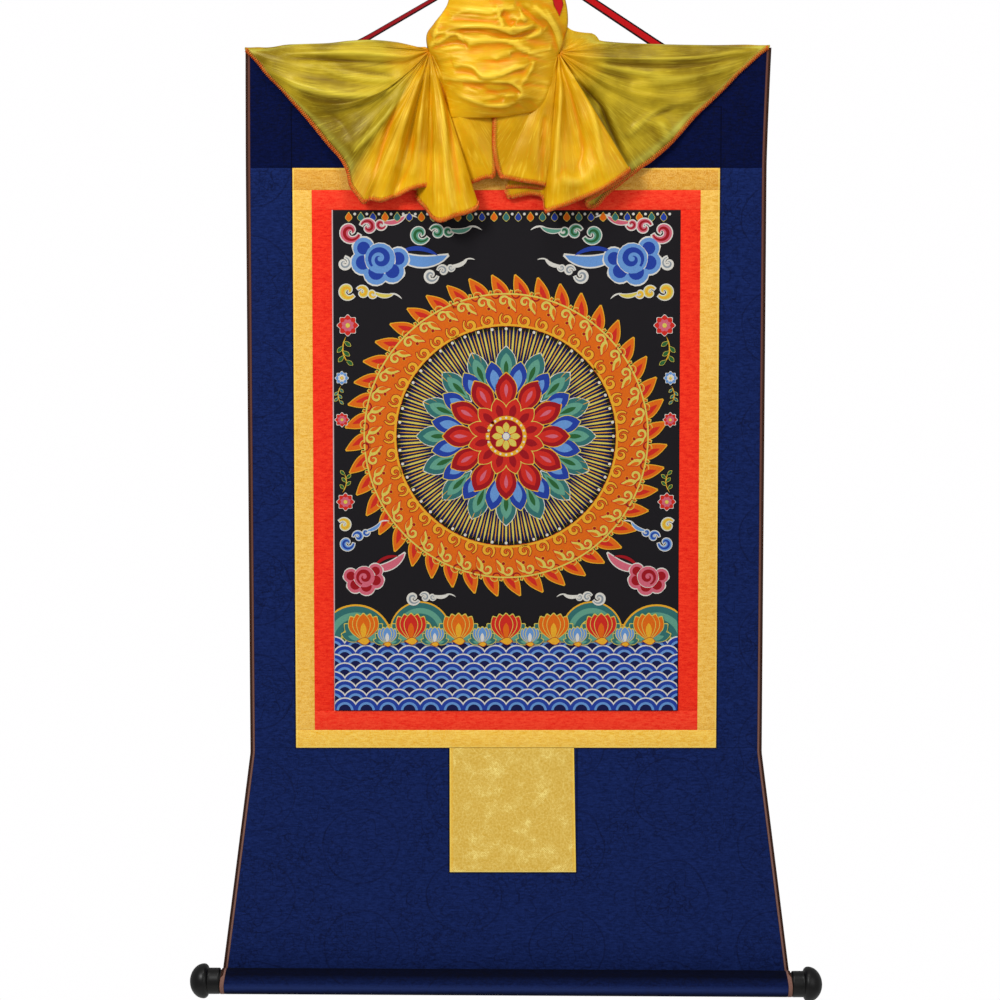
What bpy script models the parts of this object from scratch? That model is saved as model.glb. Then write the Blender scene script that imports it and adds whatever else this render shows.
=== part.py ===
"""A hanging scroll painting in the thangka manner, as it hangs from its tape.

The painting has a red and a gold brocade border and a navy brocade mount of four
strips, whose foot flares and wraps a wooden roller with black knobs. A flat stave
fills the sleeve at the top, a red tape carries it, and a yellow silk veil, sewn
along the top edge, is lifted, gathered at two points and bunched over the tape.

X runs to the right, Z up, and the front looks towards -Y. The origin is the point
where the tape rests on its nail. Sizes are in millimetres until MM turns them.
"""

import bpy
import bmesh
import math
import numpy as np

MM = 0.001

# The mount, seen from the front.
CENTRE_X = -13.0            # the scroll hangs a little left of its nail
PANEL_WIDTH = 670.0         # over the bindings, from the top to the foot seam
FOOT_WIDTH = 750.0          # over the bindings, at the roller
BINDING = 6.0               # width of the side bindings
CLOTH = 2.0                 # thickness of every cloth
GAP = 0.3                   # between pieces that are sewn edge to edge
TOP_Z = -118.0
GOLD_TOP_Z = -272.0         # seam of the top strip
PAINTING_TOP_Z = -325.7
PAINTING_FOOT_Z = -977.0
GOLD_FOOT_Z = -1026.0       # seam of the foot
PAINTING_WIDTH = 450.0
GOLD_WIDTH = 550.0
RED_BORDER = 25.5
DOOR_WIDTH = 166.0
DOOR_HEIGHT = 165.0
DOOR_X = 9.0                # the door sits right of the mount's centre line
DOOR_CLOTH = 1.0

# The stave at the top and the roller at the foot.
STAVE_HEIGHT = 26.0
STAVE_THICKNESS = 6.0
SLEEVE_DEPTH = 36.0         # how far the sleeve's back comes down
ROLLER_RADIUS = 14.8
ROLLER_GAP = 0.4
ROLL_CENTRE_Z = -1334.5
ROLL_LEAN = 0.0055          # fall of the roller towards the right, per mm
LEAN_FROM_Z = -1200.0
NECK_LENGTH = 15.6
NECK_RADIUS = 17.0
KNOB_LENGTH = 24.0

# The hanging tape.
TAPE_WIDTH = 12.0
TAPE_FOOT_X = 200.0         # either side of the mount's centre
TAPE_FOOT_RUN = 30.0        # stitched length behind the sleeve
TAPE_BEND = 5.0             # radius over the nail
TWIST_LEFT = 2.5            # how late each strand turns to face the front
TWIST_RIGHT = 0.67

# One row for each point of a fan's edge, seen from its gathered point:
# x, z, distance in front of the mount, sag and bulge at mid ray, columns to the next row.
LEFT_GATHER = (-110.2, -125.1, 15.0, 127.0, 333.0)  # x, z, in front, first and last ray
LEFT_FAN = (
    (-118.0, -108.0, 14.0, 0.0, 0.0, 1),
    (-130.0, -117.5, 8.0, 0.0, 2.0, 1),
    (-152.7, -113.7, 6.0, 0.0, 4.0, 1),
    (-184.7, -110.2, 5.0, 0.0, 5.0, 2),
    (-239.8, -113.5, 4.5, 0.0, 6.0, 2),
    (-294.8, -116.2, 4.0, 0.0, 7.0, 1),
    (-320.0, -120.5, 2.4, 4.0, 5.0, 1),
    (-343.0, -123.0, 2.3, 22.0, 12.0, 1),
    (-333.4, -135.9, 3.0, 38.0, 4.0, 2),
    (-301.5, -172.0, 5.0, 44.0, 14.0, 2),
    (-268.4, -210.2, 6.0, 26.0, 3.0, 2),
    (-226.1, -260.0, 9.0, 6.0, 12.0, 2),
    (-213.1, -294.6, 14.0, 2.0, 4.0, 2),
    (-195.0, -318.6, 20.0, 0.0, 2.0, 2),
    (-174.1, -315.7, 29.0, 0.0, 5.0, 2),
    (-155.2, -310.3, 17.0, 0.0, 0.0, 2),
    (-136.2, -301.1, 25.0, 0.0, 4.0, 2),
    (-121.0, -300.0, 12.0, 0.0, 0.0, 2),
    (-112.0, -329.5, 26.0, 0.0, 0.0, 2),
    (-97.4, -341.9, 40.0, 0.0, 4.0, 2),
    (-82.0, -336.8, 28.0, 0.0, 2.0, 2),
    (-65.5, -331.8, 38.0, 0.0, 5.0, 2),
    (-51.0, -322.5, 26.0, 0.0, 0.0, 2),
    (-46.6, -293.4, 14.0, 0.0, 0.0, 2),
    (-27.8, -283.4, 19.0, 0.0, 6.0, 3),
    (-27.8, -211.8, 19.0, 0.0, 4.0, 2),
    (-27.8, -166.0, 20.0, 0.0, 0.0, 0),
)
RIGHT_GATHER = (55.5, -127.6, 15.0, 68.0, -154.5)
RIGHT_FAN = (
    (66.0, -101.0, 14.0, 0.0, 0.0, 1),
    (82.0, -100.0, 10.0, 0.0, 0.0, 1),
    (96.6, -101.5, 8.0, 0.0, 2.0, 1),
    (108.0, -110.0, 6.0, 0.0, 4.0, 2),
    (173.6, -114.2, 5.0, 0.0, 6.0, 2),
    (240.0, -116.8, 4.5, 0.0, 7.0, 2),
    (299.0, -119.5, 2.4, 6.0, 5.0, 1),
    (318.0, -122.0, 2.3, 16.0, 12.0, 1),
    (300.4, -135.9, 3.0, 32.0, 4.0, 2),
    (268.6, -169.4, 5.0, 34.0, 14.0, 2),
    (230.3, -206.4, 6.0, 22.0, 3.0, 2),
    (175.2, -262.6, 9.0, 8.0, 8.0, 2),
    (153.1, -277.0, 12.0, 0.0, 0.0, 2),
    (146.2, -277.6, 25.0, 0.0, 6.0, 2),
    (115.3, -298.2, 34.0, 0.0, 8.0, 2),
    (84.7, -312.2, 25.0, 0.0, 0.0, 2),
    (58.1, -322.1, 36.0, 0.0, 6.0, 2),
    (38.2, -330.6, 28.0, 0.0, 0.0, 2),
    (34.1, -301.0, 14.0, 0.0, 0.0, 2),
    (17.4, -293.7, 23.0, 0.0, 5.0, 2),
    (-1.8, -288.6, 17.0, 0.0, 0.0, 2),
    (-21.5, -283.4, 19.0, 0.0, 6.0, 3),
    (-23.5, -211.8, 19.0, 0.0, 4.0, 2),
    (-25.0, -166.0, 20.0, 0.0, 0.0, 0),
)
FAN_ROWS = 9
GATHER_RADIUS = 8.0

# One row for each level of the bunch, from its tail behind the tape to its turned-under
# foot: left x, right x, left z, right z, droop at mid width, distance in front, bulge.
BUNCH = (
    (-26.0, 20.0, -42.0, -42.0, 4.0, -15.0, -4.0),
    (-27.0, 21.0, -8.0, -8.0, 0.0, -14.0, -3.0),
    (-26.0, 20.0, 9.0, 9.0, 0.0, 0.0, 0.0),
    (-40.0, 34.0, -10.0, -10.0, 4.0, 14.0, 10.0),
    (-64.0, 52.0, -36.0, -36.0, 8.0, 17.0, 20.0),
    (-86.3, 62.9, -65.0, -64.0, 10.0, 18.0, 26.0),
    (-103.8, 65.6, -90.5, -86.3, 6.0, 16.0, 32.0),
    (-112.8, 66.0, -106.0, -100.0, 6.0, 14.0, 32.0),
    (-110.3, 60.0, -124.9, -120.0, 12.0, 13.0, 32.0),
    (-103.0, 55.5, -142.0, -137.0, 16.0, 14.0, 30.0),
    (-98.0, 52.0, -160.0, -155.0, 18.0, 16.0, 28.0),
    (-90.0, 46.0, -182.0, -176.0, 14.0, 18.0, 22.0),
    (-83.4, 38.0, -208.0, -198.0, 6.0, 22.0, 12.0),
    (-80.0, 34.0, -196.0, -186.0, 4.0, 14.0, 0.0),
    (-76.0, 30.0, -174.0, -170.0, 2.0, 12.0, 0.0),
)
SWAGS = ((4.0, 5.0), (5.2, 6.0), (6.4, 7.0), (7.6, 6.0), (8.9, 8.0), (10.2, 8.0))  # level, height
BUNCH_COLUMNS = 16
BUNCH_STEPS = 3             # mesh rows to each level of the table

RIBBON_WIDTH = 12.0
RIBBON_LIFT = 1.1           # clear of the silk, which is tilted under it
RIBBON_ACROSS = 0.87        # where it lies across the bunch
RIBBON_FROM, RIBBON_TO = 3.2, 5.6   # levels of the bunch that it runs over

NAVY = (0.010, 0.016, 0.075)
GOLD = (0.86, 0.50, 0.08)
RED = (0.90, 0.05, 0.02)
PAINTING = (0.16, 0.06, 0.02)
DOOR = (0.72, 0.48, 0.10)
YELLOW = (0.80, 0.42, 0.02)
BROWN = (0.16, 0.06, 0.04)
BLACK = (0.012, 0.012, 0.012)
WOOD = (0.36, 0.22, 0.11)
TAPE_RED = (0.42, 0.008, 0.015)


def clear_scene():
    for old in list(bpy.data.objects):
        bpy.data.objects.remove(old, do_unlink=True)


def material(name, colour, roughness, metallic=0.0):
    made = bpy.data.materials.new(name)
    made.use_nodes = True
    shader = made.node_tree.nodes["Principled BSDF"]
    shader.inputs["Base Color"].default_value = (*colour, 1.0)
    shader.inputs["Roughness"].default_value = roughness
    shader.inputs["Metallic"].default_value = metallic
    made.diffuse_color = (*colour, 1.0)
    return made


def faces_out(mesh):
    """Turns the faces of a closed mesh outwards."""
    work = bmesh.new()
    work.from_mesh(mesh)
    bmesh.ops.recalc_face_normals(work, faces=work.faces)
    work.to_mesh(mesh)
    work.free()


def add_object(name, points, faces, finish, smooth=False, solid=True):
    """An object from points in millimetres and their faces."""
    mesh = bpy.data.meshes.new(name)
    mesh.from_pydata((np.asarray(points, float) * MM).tolist(), [], [list(f) for f in faces])
    mesh.validate()
    if solid:
        faces_out(mesh)
    mesh.shade_smooth() if smooth else mesh.shade_flat()
    mesh.materials.append(finish)
    made = bpy.data.objects.new(name, mesh)
    bpy.context.scene.collection.objects.link(made)
    return made


def box(name, x, y, z, finish):
    """A block between two x, two y and two z values."""
    corners = [(a, b, c) for a in sorted(x) for b in sorted(y) for c in sorted(z)]
    faces = ((0, 1, 3, 2), (4, 6, 7, 5), (0, 4, 5, 1), (2, 3, 7, 6), (0, 2, 6, 4), (1, 5, 7, 3))
    return add_object(name, corners, faces, finish)


def cloth_piece(name, x, z, finish):
    """A flat piece of cloth in the plane of the mount."""
    return box(name, x, (-CLOTH / 2, CLOTH / 2), z, finish)


def closed_loft(name, sections, finish, smooth=False):
    """A closed solid through equal rings of points, with a face over each end."""
    rings, count = len(sections), len(sections[0])
    faces = []
    for i in range(rings - 1):
        for j in range(count):
            k = (j + 1) % count
            faces.append((i * count + j, i * count + k, (i + 1) * count + k, (i + 1) * count + j))
    faces.append(tuple(range(count - 1, -1, -1)))
    faces.append(tuple(range((rings - 1) * count, rings * count)))
    return add_object(name, np.concatenate(sections), faces, finish, smooth)


def edge_x(z, side):
    """The outer edge of the mount at a height: straight, then flaring to the roller."""
    flare = min(max((GOLD_FOOT_Z - z) / (GOLD_FOOT_Z - ROLL_CENTRE_Z), 0.0), 1.0)
    flare = max(flare - 0.02, 0.0) / 0.98
    return CENTRE_X + side * (PANEL_WIDTH + (FOOT_WIDTH - PANEL_WIDTH) * flare) / 2


def lean(x, z):
    """How far the foot drops at a place, because the roller hangs out of level."""
    share = min(max((LEAN_FROM_Z - z) / (LEAN_FROM_Z - ROLL_CENTRE_Z), 0.0), 1.0)
    return -ROLL_LEAN * (x - CENTRE_X) * share


def swept_cloth(name, line, left, right, finish):
    """Cloth that follows a side-view line of (y, z), between two x values for each height."""
    line = np.asarray(line, float)
    along = np.gradient(line, axis=0)
    along /= np.linalg.norm(along, axis=1)[:, None]
    across = np.stack([-along[:, 1], along[:, 0]], axis=1) * CLOTH / 2
    sections = []
    for (y, z), (dy, dz) in zip(line, across):
        a, b = left(z), right(z)
        sections.append(np.array([
            (a, y + dy, z + dz + lean(a, z)), (a, y - dy, z - dz + lean(a, z)),
            (b, y - dy, z - dz + lean(b, z)), (b, y + dy, z + dz + lean(b, z)),
        ]))
    return closed_loft(name, sections, finish)


def arc(centre, radius, start, end, steps):
    """Points of an arc in side view, angles in degrees from the back, +Y, up over the top."""
    angles = np.radians(np.linspace(start, end, steps))
    return [(centre[0] + radius * math.cos(a), centre[1] + radius * math.sin(a)) for a in angles]


def sleeve_line():
    """The top strip from its seam up the front, over the stave and down the back."""
    half = STAVE_THICKNESS / 2 + GAP + CLOTH / 2
    turn = (half, TOP_Z - CLOTH / 2 - half)
    down = [(2 * half, turn[1] - step) for step in (10.0, SLEEVE_DEPTH - half)]
    return [(0.0, GOLD_TOP_Z + GAP / 2), (0.0, -200.0), *arc(turn, half, 180, 0, 9), *down]


def roll_centre_y():
    return -(ROLLER_RADIUS + ROLLER_GAP + CLOTH / 2)


def roll_line(start):
    """The foot from its seam down behind the roller, under it and up its front."""
    radius = -roll_centre_y()
    down = [(0.0, z) for z in np.linspace(start, ROLL_CENTRE_Z + 12, 9)]
    return down + arc((roll_centre_y(), ROLL_CENTRE_Z), radius, 0, -318, 25)


def turned_piece(name, profile, side, start, finish):
    """A round piece on the roller's line from (distance outwards, radius) pairs."""
    steps = 32
    sections = []
    for out, radius in profile:
        x = start + side * out
        angles = np.linspace(0, 2 * math.pi, steps, endpoint=False) * side
        drop = -ROLL_LEAN * (x - CENTRE_X)
        sections.append(np.stack([
            np.full(steps, x),
            roll_centre_y() + radius * np.cos(angles),
            ROLL_CENTRE_Z + drop + radius * np.sin(angles),
        ], axis=1))
    return closed_loft(name, sections, finish, smooth=True)


def smooth_rows(table, places):
    """A table's rows read between its lines on a Catmull-Rom curve."""
    table = np.asarray(table, float)
    places = np.clip(places, 0, len(table) - 1)
    base = np.minimum(places.astype(int), len(table) - 2)
    t = (places - base)[:, None]
    p0, p1 = table[np.maximum(base - 1, 0)], table[base]
    p2, p3 = table[base + 1], table[np.minimum(base + 2, len(table) - 1)]
    return 0.5 * (2 * p1 + (p2 - p0) * t + (2 * p0 - 5 * p1 + 4 * p2 - p3) * t**2
                  + (3 * p1 - p0 - 3 * p2 + p3) * t**3)


def fan_grid(gather, table):
    """Points of a gathered fan: rays from a small ring at the gather to the rows of its edge."""
    places = [i + k / row[5] for i, row in enumerate(table) for k in range(row[5])]
    edge = smooth_rows(table, np.array(places + [len(table) - 1.0]))
    x, z, out, sag, bulge = (edge[:, k][None, :] for k in range(5))
    turn = np.radians(np.linspace(gather[3], gather[4], edge.shape[0]))[None, :]
    ring_x = gather[0] + GATHER_RADIUS * np.cos(turn)
    ring_z = gather[1] + GATHER_RADIUS * np.sin(turn)
    v = np.linspace(0, 1, FAN_ROWS)[:, None] ** 1.2
    arch = 4 * v * (1 - v)
    return np.stack([
        ring_x + (x - ring_x) * v,
        -(gather[2] + (out - gather[2]) * v + bulge * arch),
        ring_z + (z - ring_z) * v - sag * arch,
    ], axis=-1)


def bunch_point(across, level):
    """Points of the bunch: a drooping, bulging row for each level, with its swags."""
    rows = smooth_rows(BUNCH, np.atleast_1d(level).astype(float))
    left, right, left_z, right_z, droop, out, bulge = (rows[:, k][:, None] for k in range(7))
    s = np.atleast_1d(across)[None, :]
    belly = np.sin(math.pi * s) ** 0.7
    level = np.atleast_1d(level)[:, None]
    swag = sum(height * np.exp(-((level - at - 0.25 * s) / 0.33) ** 2) for at, height in SWAGS)
    return np.stack([
        left + (right - left) * s,
        -(out + (bulge + swag) * belly),
        left_z + (right_z - left_z) * s - droop * np.sin(math.pi * s),
    ], axis=-1)


def sheet(name, grid, finish, centre=None):
    """Cloth over a grid of points, closed at a gathered point if one is given."""
    rows, columns = grid.shape[:2]
    points = grid.reshape(-1, 3)
    faces = [
        (i * columns + j, i * columns + j + 1, (i + 1) * columns + j + 1, (i + 1) * columns + j)
        for i in range(rows - 1) for j in range(columns - 1)
    ]
    if centre is not None:
        points = np.vstack([points, (centre[0], -centre[2], centre[1])])
        faces += [(len(points) - 1, j + 1, j) for j in range(columns - 1)]
    made = add_object(name, points, faces, finish, solid=False)
    thick = made.modifiers.new("cloth", "SOLIDIFY")
    thick.thickness = CLOTH * MM
    thick.offset = 0.0
    return made


def join(host, helper):
    """Makes a helper's solid part of a host's solid."""
    union = host.modifiers.new(helper.name, "BOOLEAN")
    union.operation = "UNION"
    union.object = helper
    union.use_self = True
    helper.hide_render = True
    helper.display_type = "WIRE"


def tape_stations():
    """The tape's centre line with the direction of its width, from foot to foot."""
    sleeve_back = STAVE_THICKNESS + 2 * GAP + 1.5 * CLOTH
    foot_y = sleeve_back + GAP + CLOTH / 2
    stations = []
    for side, twist in ((-1, TWIST_LEFT), (1, TWIST_RIGHT)):
        foot = np.array([CENTRE_X + side * TAPE_FOOT_X, foot_y, TOP_Z])
        top = np.array([side * TAPE_BEND, 0.0, CLOTH / 2 - 1.6])
        run = (foot - top) / np.linalg.norm(foot - top)
        ends = [foot + np.array([run[0], 0.0, run[2]]) * TAPE_FOOT_RUN * k for k in (1.0, 0.5)]
        strand = [foot + (top - foot) * k for k in np.linspace(0, 1, 17)]
        turn = [math.pi / 2, math.pi / 2] + [math.pi / 2 * (1 - k) ** twist for k in np.linspace(0, 1, 17)]
        flat = np.cross(run, (0.0, 1.0, 0.0))
        half = [
            (place, side * math.sin(a) * flat + math.cos(a) * np.array([0.0, 1.0, 0.0]))
            for place, a in zip(ends + strand, turn)
        ]
        stations.append(half)
    crown = [(np.array([0.0, 0.0, CLOTH / 2]), np.array([0.0, 1.0, 0.0]))]
    return stations[0] + crown + stations[1][::-1]


def tape(name, stations, width, finish):
    """A flat tape along its stations, each a centre and the direction of its width."""
    places = np.array([place for place, _ in stations])
    along = np.gradient(places, axis=0)
    sections = []
    for (place, wide), run in zip(stations, along):
        thick = np.cross(run, wide)
        thick *= CLOTH / 2 / np.linalg.norm(thick)
        wide = wide * width / 2
        sections.append(np.array([
            place - wide - thick, place + wide - thick, place + wide + thick, place - wide + thick,
        ]))
    return closed_loft(name, sections, finish)


def ribbon_sections():
    """A ribbon end over the bunch's right side, cut to a point."""
    levels = np.linspace(RIBBON_FROM, RIBBON_TO, 9)
    lift = CLOTH + RIBBON_LIFT
    sections = []
    for k, level in enumerate(levels):
        width = RIBBON_WIDTH * min(1.0, 0.12 + (len(levels) - 1 - k) / 3)
        middle = bunch_point(RIBBON_ACROSS, level)[0, 0]
        front = middle[1] - lift - CLOTH - 1.5
        a, b = middle[0] - width / 2, middle[0] + width / 2
        sections.append(np.array([
            (a, front, middle[2]), (b, front + 1.5, middle[2]),
            (b, front + 1.5 + CLOTH, middle[2]), (a, front + CLOTH, middle[2]),
        ]))
    return sections


def make_mount():
    navy = material("navy brocade", NAVY, 0.75)
    gold = material("gold brocade", GOLD, 0.55)
    red = material("red brocade", RED, 0.60)
    picture = material("painting", PAINTING, 0.55)
    door = material("door brocade", DOOR, 0.50)
    brown = material("binding", BROWN, 0.60)
    inner = BINDING + GAP

    def inside(side):
        return lambda z: edge_x(z, side) - side * inner

    swept_cloth("navy_top", sleeve_line(), inside(-1), inside(1), navy)
    swept_cloth("navy_bottom", roll_line(GOLD_FOOT_Z - GAP / 2), inside(-1), inside(1), navy)
    for name, side in (("left", -1), ("right", 1)):
        line = [(0.0, TOP_Z - 6.0), (0.0, -600.0)] + roll_line(GOLD_FOOT_Z)
        outer, inward = (lambda z, s=side: edge_x(z, s)), (lambda z, s=side: edge_x(z, s) - s * BINDING)
        pair = (outer, inward) if side < 0 else (inward, outer)
        swept_cloth(f"binding_{name}", line, *pair, brown)
        edges = [CENTRE_X + side * (PANEL_WIDTH / 2 - inner), CENTRE_X + side * (GOLD_WIDTH / 2 + GAP)]
        cloth_piece(f"navy_{name}", edges, (GOLD_TOP_Z - GAP / 2, GOLD_FOOT_Z + GAP / 2), navy)

    red_top, red_foot = PAINTING_TOP_Z + RED_BORDER, PAINTING_FOOT_Z - RED_BORDER
    red_half = PAINTING_WIDTH / 2 + RED_BORDER
    frames = (
        ("gold", gold, GOLD_WIDTH / 2, red_half, GOLD_TOP_Z - GAP / 2, red_top,
         red_foot, GOLD_FOOT_Z + GAP / 2),
        ("red", red, red_half - GAP, PAINTING_WIDTH / 2, red_top - GAP, PAINTING_TOP_Z,
         PAINTING_FOOT_Z, red_foot + GAP),
    )
    for name, finish, outer, inner_edge, top, top_in, foot_in, foot in frames:
        wide = (CENTRE_X - outer, CENTRE_X + outer)
        cloth_piece(f"{name}_top", wide, (top, top_in), finish)
        cloth_piece(f"{name}_bottom", wide, (foot_in, foot), finish)
        for tag, side in (("left", -1), ("right", 1)):
            x = (CENTRE_X + side * outer, CENTRE_X + side * inner_edge)
            cloth_piece(f"{name}_{tag}", x, (top_in - GAP, foot_in + GAP), finish)
    half = PAINTING_WIDTH / 2 - GAP
    cloth_piece("painting", (CENTRE_X - half, CENTRE_X + half),
                (PAINTING_TOP_Z - GAP, PAINTING_FOOT_Z + GAP), picture)
    middle = CENTRE_X + DOOR_X
    front = -CLOTH / 2 - GAP
    box("door", (middle - DOOR_WIDTH / 2, middle + DOOR_WIDTH / 2), (front - DOOR_CLOTH, front),
        (GOLD_FOOT_Z - GAP, GOLD_FOOT_Z - DOOR_HEIGHT), door)


def make_rods():
    wood = material("wood", WOOD, 0.6)
    black = material("black lacquer", BLACK, 0.35)
    sleeve_half = STAVE_THICKNESS / 2 + GAP + CLOTH / 2
    stave_top = TOP_Z - CLOTH - GAP - 2.0
    stave_y = (sleeve_half - STAVE_THICKNESS / 2, sleeve_half + STAVE_THICKNESS / 2)
    half = PANEL_WIDTH / 2 - BINDING - GAP
    box("stave", (CENTRE_X - half, CENTRE_X + half), stave_y, (stave_top, stave_top - STAVE_HEIGHT), wood)

    left, right = CENTRE_X - FOOT_WIDTH / 2, CENTRE_X + FOOT_WIDTH / 2
    turned_piece("roller", ((0.0, ROLLER_RADIUS), (FOOT_WIDTH, ROLLER_RADIUS)), 1, left, wood)
    knob = (
        (0.0, NECK_RADIUS), (NECK_LENGTH, NECK_RADIUS), (NECK_LENGTH + 0.8, 19.2),
        (NECK_LENGTH + 2.6, 21.4), (NECK_LENGTH + 5.6, 22.6), (NECK_LENGTH + 9.0, 22.0),
        (NECK_LENGTH + 13.0, 19.8), (NECK_LENGTH + 17.0, 15.8), (NECK_LENGTH + 20.5, 10.6),
        (NECK_LENGTH + 23.0, 5.0), (NECK_LENGTH + KNOB_LENGTH, 1.2),
    )
    turned_piece("knob_left", knob, -1, left - GAP, black)
    turned_piece("knob_right", knob, 1, right + GAP, black)


def make_veil():
    yellow = material("yellow silk", YELLOW, 0.35)
    veil = sheet("veil", fan_grid(LEFT_GATHER, LEFT_FAN), yellow, LEFT_GATHER)
    right = sheet("veil_right_fan", fan_grid(RIGHT_GATHER, RIGHT_FAN), yellow, RIGHT_GATHER)
    levels = np.linspace(0, len(BUNCH) - 1, (len(BUNCH) - 1) * BUNCH_STEPS + 1)
    bunch = sheet("veil_bunch", bunch_point(np.linspace(0, 1, BUNCH_COLUMNS), levels), yellow)
    join(veil, bunch)
    join(veil, right)


def make_tapes():
    red = material("red tape", TAPE_RED, 0.6)
    tape("hanging_tape", tape_stations(), TAPE_WIDTH, red)
    closed_loft("ribbon", ribbon_sections(), red)


clear_scene()
make_mount()
make_rods()
make_veil()
make_tapes()
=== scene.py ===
"""The looks of a hanging scroll painting: silk veil, brocade mount, woven picture, rods and tape.

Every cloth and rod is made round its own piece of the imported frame. X runs to the right,
Z up, and the front looks towards -Y. The origin is the point where the tape rests on its
nail. Shapes are worked out in millimetres and become metres in the mesh.
"""

import math

import bmesh
import bpy
import numpy as np
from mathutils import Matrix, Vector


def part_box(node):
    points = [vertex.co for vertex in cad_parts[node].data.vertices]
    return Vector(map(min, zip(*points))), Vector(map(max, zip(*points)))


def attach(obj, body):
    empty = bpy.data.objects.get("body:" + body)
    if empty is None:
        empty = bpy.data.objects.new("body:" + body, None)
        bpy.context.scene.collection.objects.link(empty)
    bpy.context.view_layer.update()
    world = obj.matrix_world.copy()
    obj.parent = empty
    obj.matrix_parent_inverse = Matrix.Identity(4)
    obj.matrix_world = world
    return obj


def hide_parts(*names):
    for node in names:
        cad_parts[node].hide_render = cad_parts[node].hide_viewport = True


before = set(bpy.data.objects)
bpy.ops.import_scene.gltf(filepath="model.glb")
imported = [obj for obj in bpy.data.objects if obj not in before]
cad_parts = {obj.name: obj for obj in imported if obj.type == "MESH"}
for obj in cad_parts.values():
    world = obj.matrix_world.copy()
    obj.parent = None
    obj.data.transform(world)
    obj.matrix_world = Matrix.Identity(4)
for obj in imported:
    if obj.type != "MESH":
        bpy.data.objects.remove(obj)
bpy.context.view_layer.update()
MM = 0.001


# ---- The view ---------------------------------------------------------------------------
# The scroll hangs before a white ground and is seen from three metres, a little from above,
# so its foot is further from the lens than its top.

CAMERA_DISTANCE = 3.0694
CAMERA_X, CAMERA_Z = -0.02096, -0.47019
CAMERA_FALL = 0.075                 # sine of its downward tilt
LENS, SENSOR = 85.0, 36.0
FLOOR_Z, FLOOR_SIZE = -1.85, 2.2
WORLD_AS_LIGHT, WORLD_AS_GROUND = 0.34, 1.0


def add_camera():
    lens = bpy.data.cameras.new("camera")
    lens.lens, lens.sensor_width = LENS, SENSOR
    camera = bpy.data.objects.new("camera", lens)
    tilt = math.asin(CAMERA_FALL)
    camera.location = (CAMERA_X, -CAMERA_DISTANCE * math.cos(tilt), CAMERA_Z)
    camera.rotation_euler = (math.pi / 2 - tilt, 0.0, 0.0)
    bpy.context.scene.collection.objects.link(camera)
    bpy.context.scene.camera = camera


def add_softbox(name, place, size, power, aim=(0.0, 0.0, -0.6)):
    """A square area lamp at a place, turned to its aim."""
    lamp = bpy.data.lights.new(name, "AREA")
    lamp.shape, lamp.size, lamp.energy = "SQUARE", size, power
    made = bpy.data.objects.new(name, lamp)
    made.location = place
    run = np.array(aim) - np.array(place)
    tilt, heading = math.acos(-run[2] / np.linalg.norm(run)), math.atan2(run[0], -run[1])
    made.rotation_euler = (tilt, 0.0, heading + math.pi)
    bpy.context.scene.collection.objects.link(made)


def add_ground():
    """A pale floor under the scroll and a white world round it, dimmer as a light than as a ground."""
    half = FLOOR_SIZE / 2
    mesh = bpy.data.meshes.new("floor")
    mesh.from_pydata([(-half, -half, FLOOR_Z), (half, -half, FLOOR_Z), (half, half, FLOOR_Z),
                      (-half, half, FLOOR_Z)], [], [(0, 1, 2, 3)])
    floor = bpy.data.objects.new("floor", mesh)
    pale = bpy.data.materials.new("pale floor")
    pale.use_nodes = True
    shader = pale.node_tree.nodes["Principled BSDF"].inputs
    shader["Base Color"].default_value = (0.85, 0.85, 0.84, 1)
    shader["Roughness"].default_value = 0.9
    mesh.materials.append(pale)
    bpy.context.scene.collection.objects.link(floor)

    world = bpy.data.worlds.new("white ground")
    bpy.context.scene.world = world
    world.use_nodes = True
    tree = world.node_tree
    light, ground = tree.nodes["Background"], tree.nodes.new("ShaderNodeBackground")
    light.inputs["Color"].default_value = (1.0, 1.0, 1.0, 1.0)
    light.inputs["Strength"].default_value = WORLD_AS_LIGHT
    ground.inputs["Color"].default_value = (1.0, 0.995, 1.0, 1.0)
    ground.inputs["Strength"].default_value = WORLD_AS_GROUND
    rays, chosen = tree.nodes.new("ShaderNodeLightPath"), tree.nodes.new("ShaderNodeMixShader")
    tree.links.new(rays.outputs["Is Camera Ray"], chosen.inputs[0])
    tree.links.new(light.outputs[0], chosen.inputs[1])
    tree.links.new(ground.outputs[0], chosen.inputs[2])
    tree.links.new(chosen.outputs[0], tree.nodes["World Output"].inputs[0])


add_camera()
add_softbox("key light", (-1.7, -2.4, 1.2), 0.9, 66.0)
add_softbox("fill light", (1.9, -2.3, 0.1), 1.8, 20.0)
add_softbox("top light", (0.1, -0.9, 1.6), 0.7, 13.0, aim=(0.0, 0.0, -0.2))
add_ground()
bpy.context.scene.view_settings.view_transform = "Standard"


# ---- Hanging tape -----------------------------------------------------------------------
# A flat red tape, 12 mm wide, woven in ribs. Both ends are stitched behind the stave's
# sleeve, and it turns on edge as it rises, to pass over the nail.

CENTRE_X, TOP_Z = -13.0, -118.0     # the mount's middle line and its top edge
TAPE_WIDTH, TAPE_THICK = 12.0, 1.5
TAPE_FOOT_X, TAPE_FOOT_Y, TAPE_FOOT_RUN = 200.0, 10.9, 30.0
TAPE_BEND, TAPE_TOP_Z, TAPE_SHOULDER_Z = 5.0, 1.0, -0.6
TAPE_LEANS = (0.72, 1.45)           # how far each strand stays turned from being on edge, in radians


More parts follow.
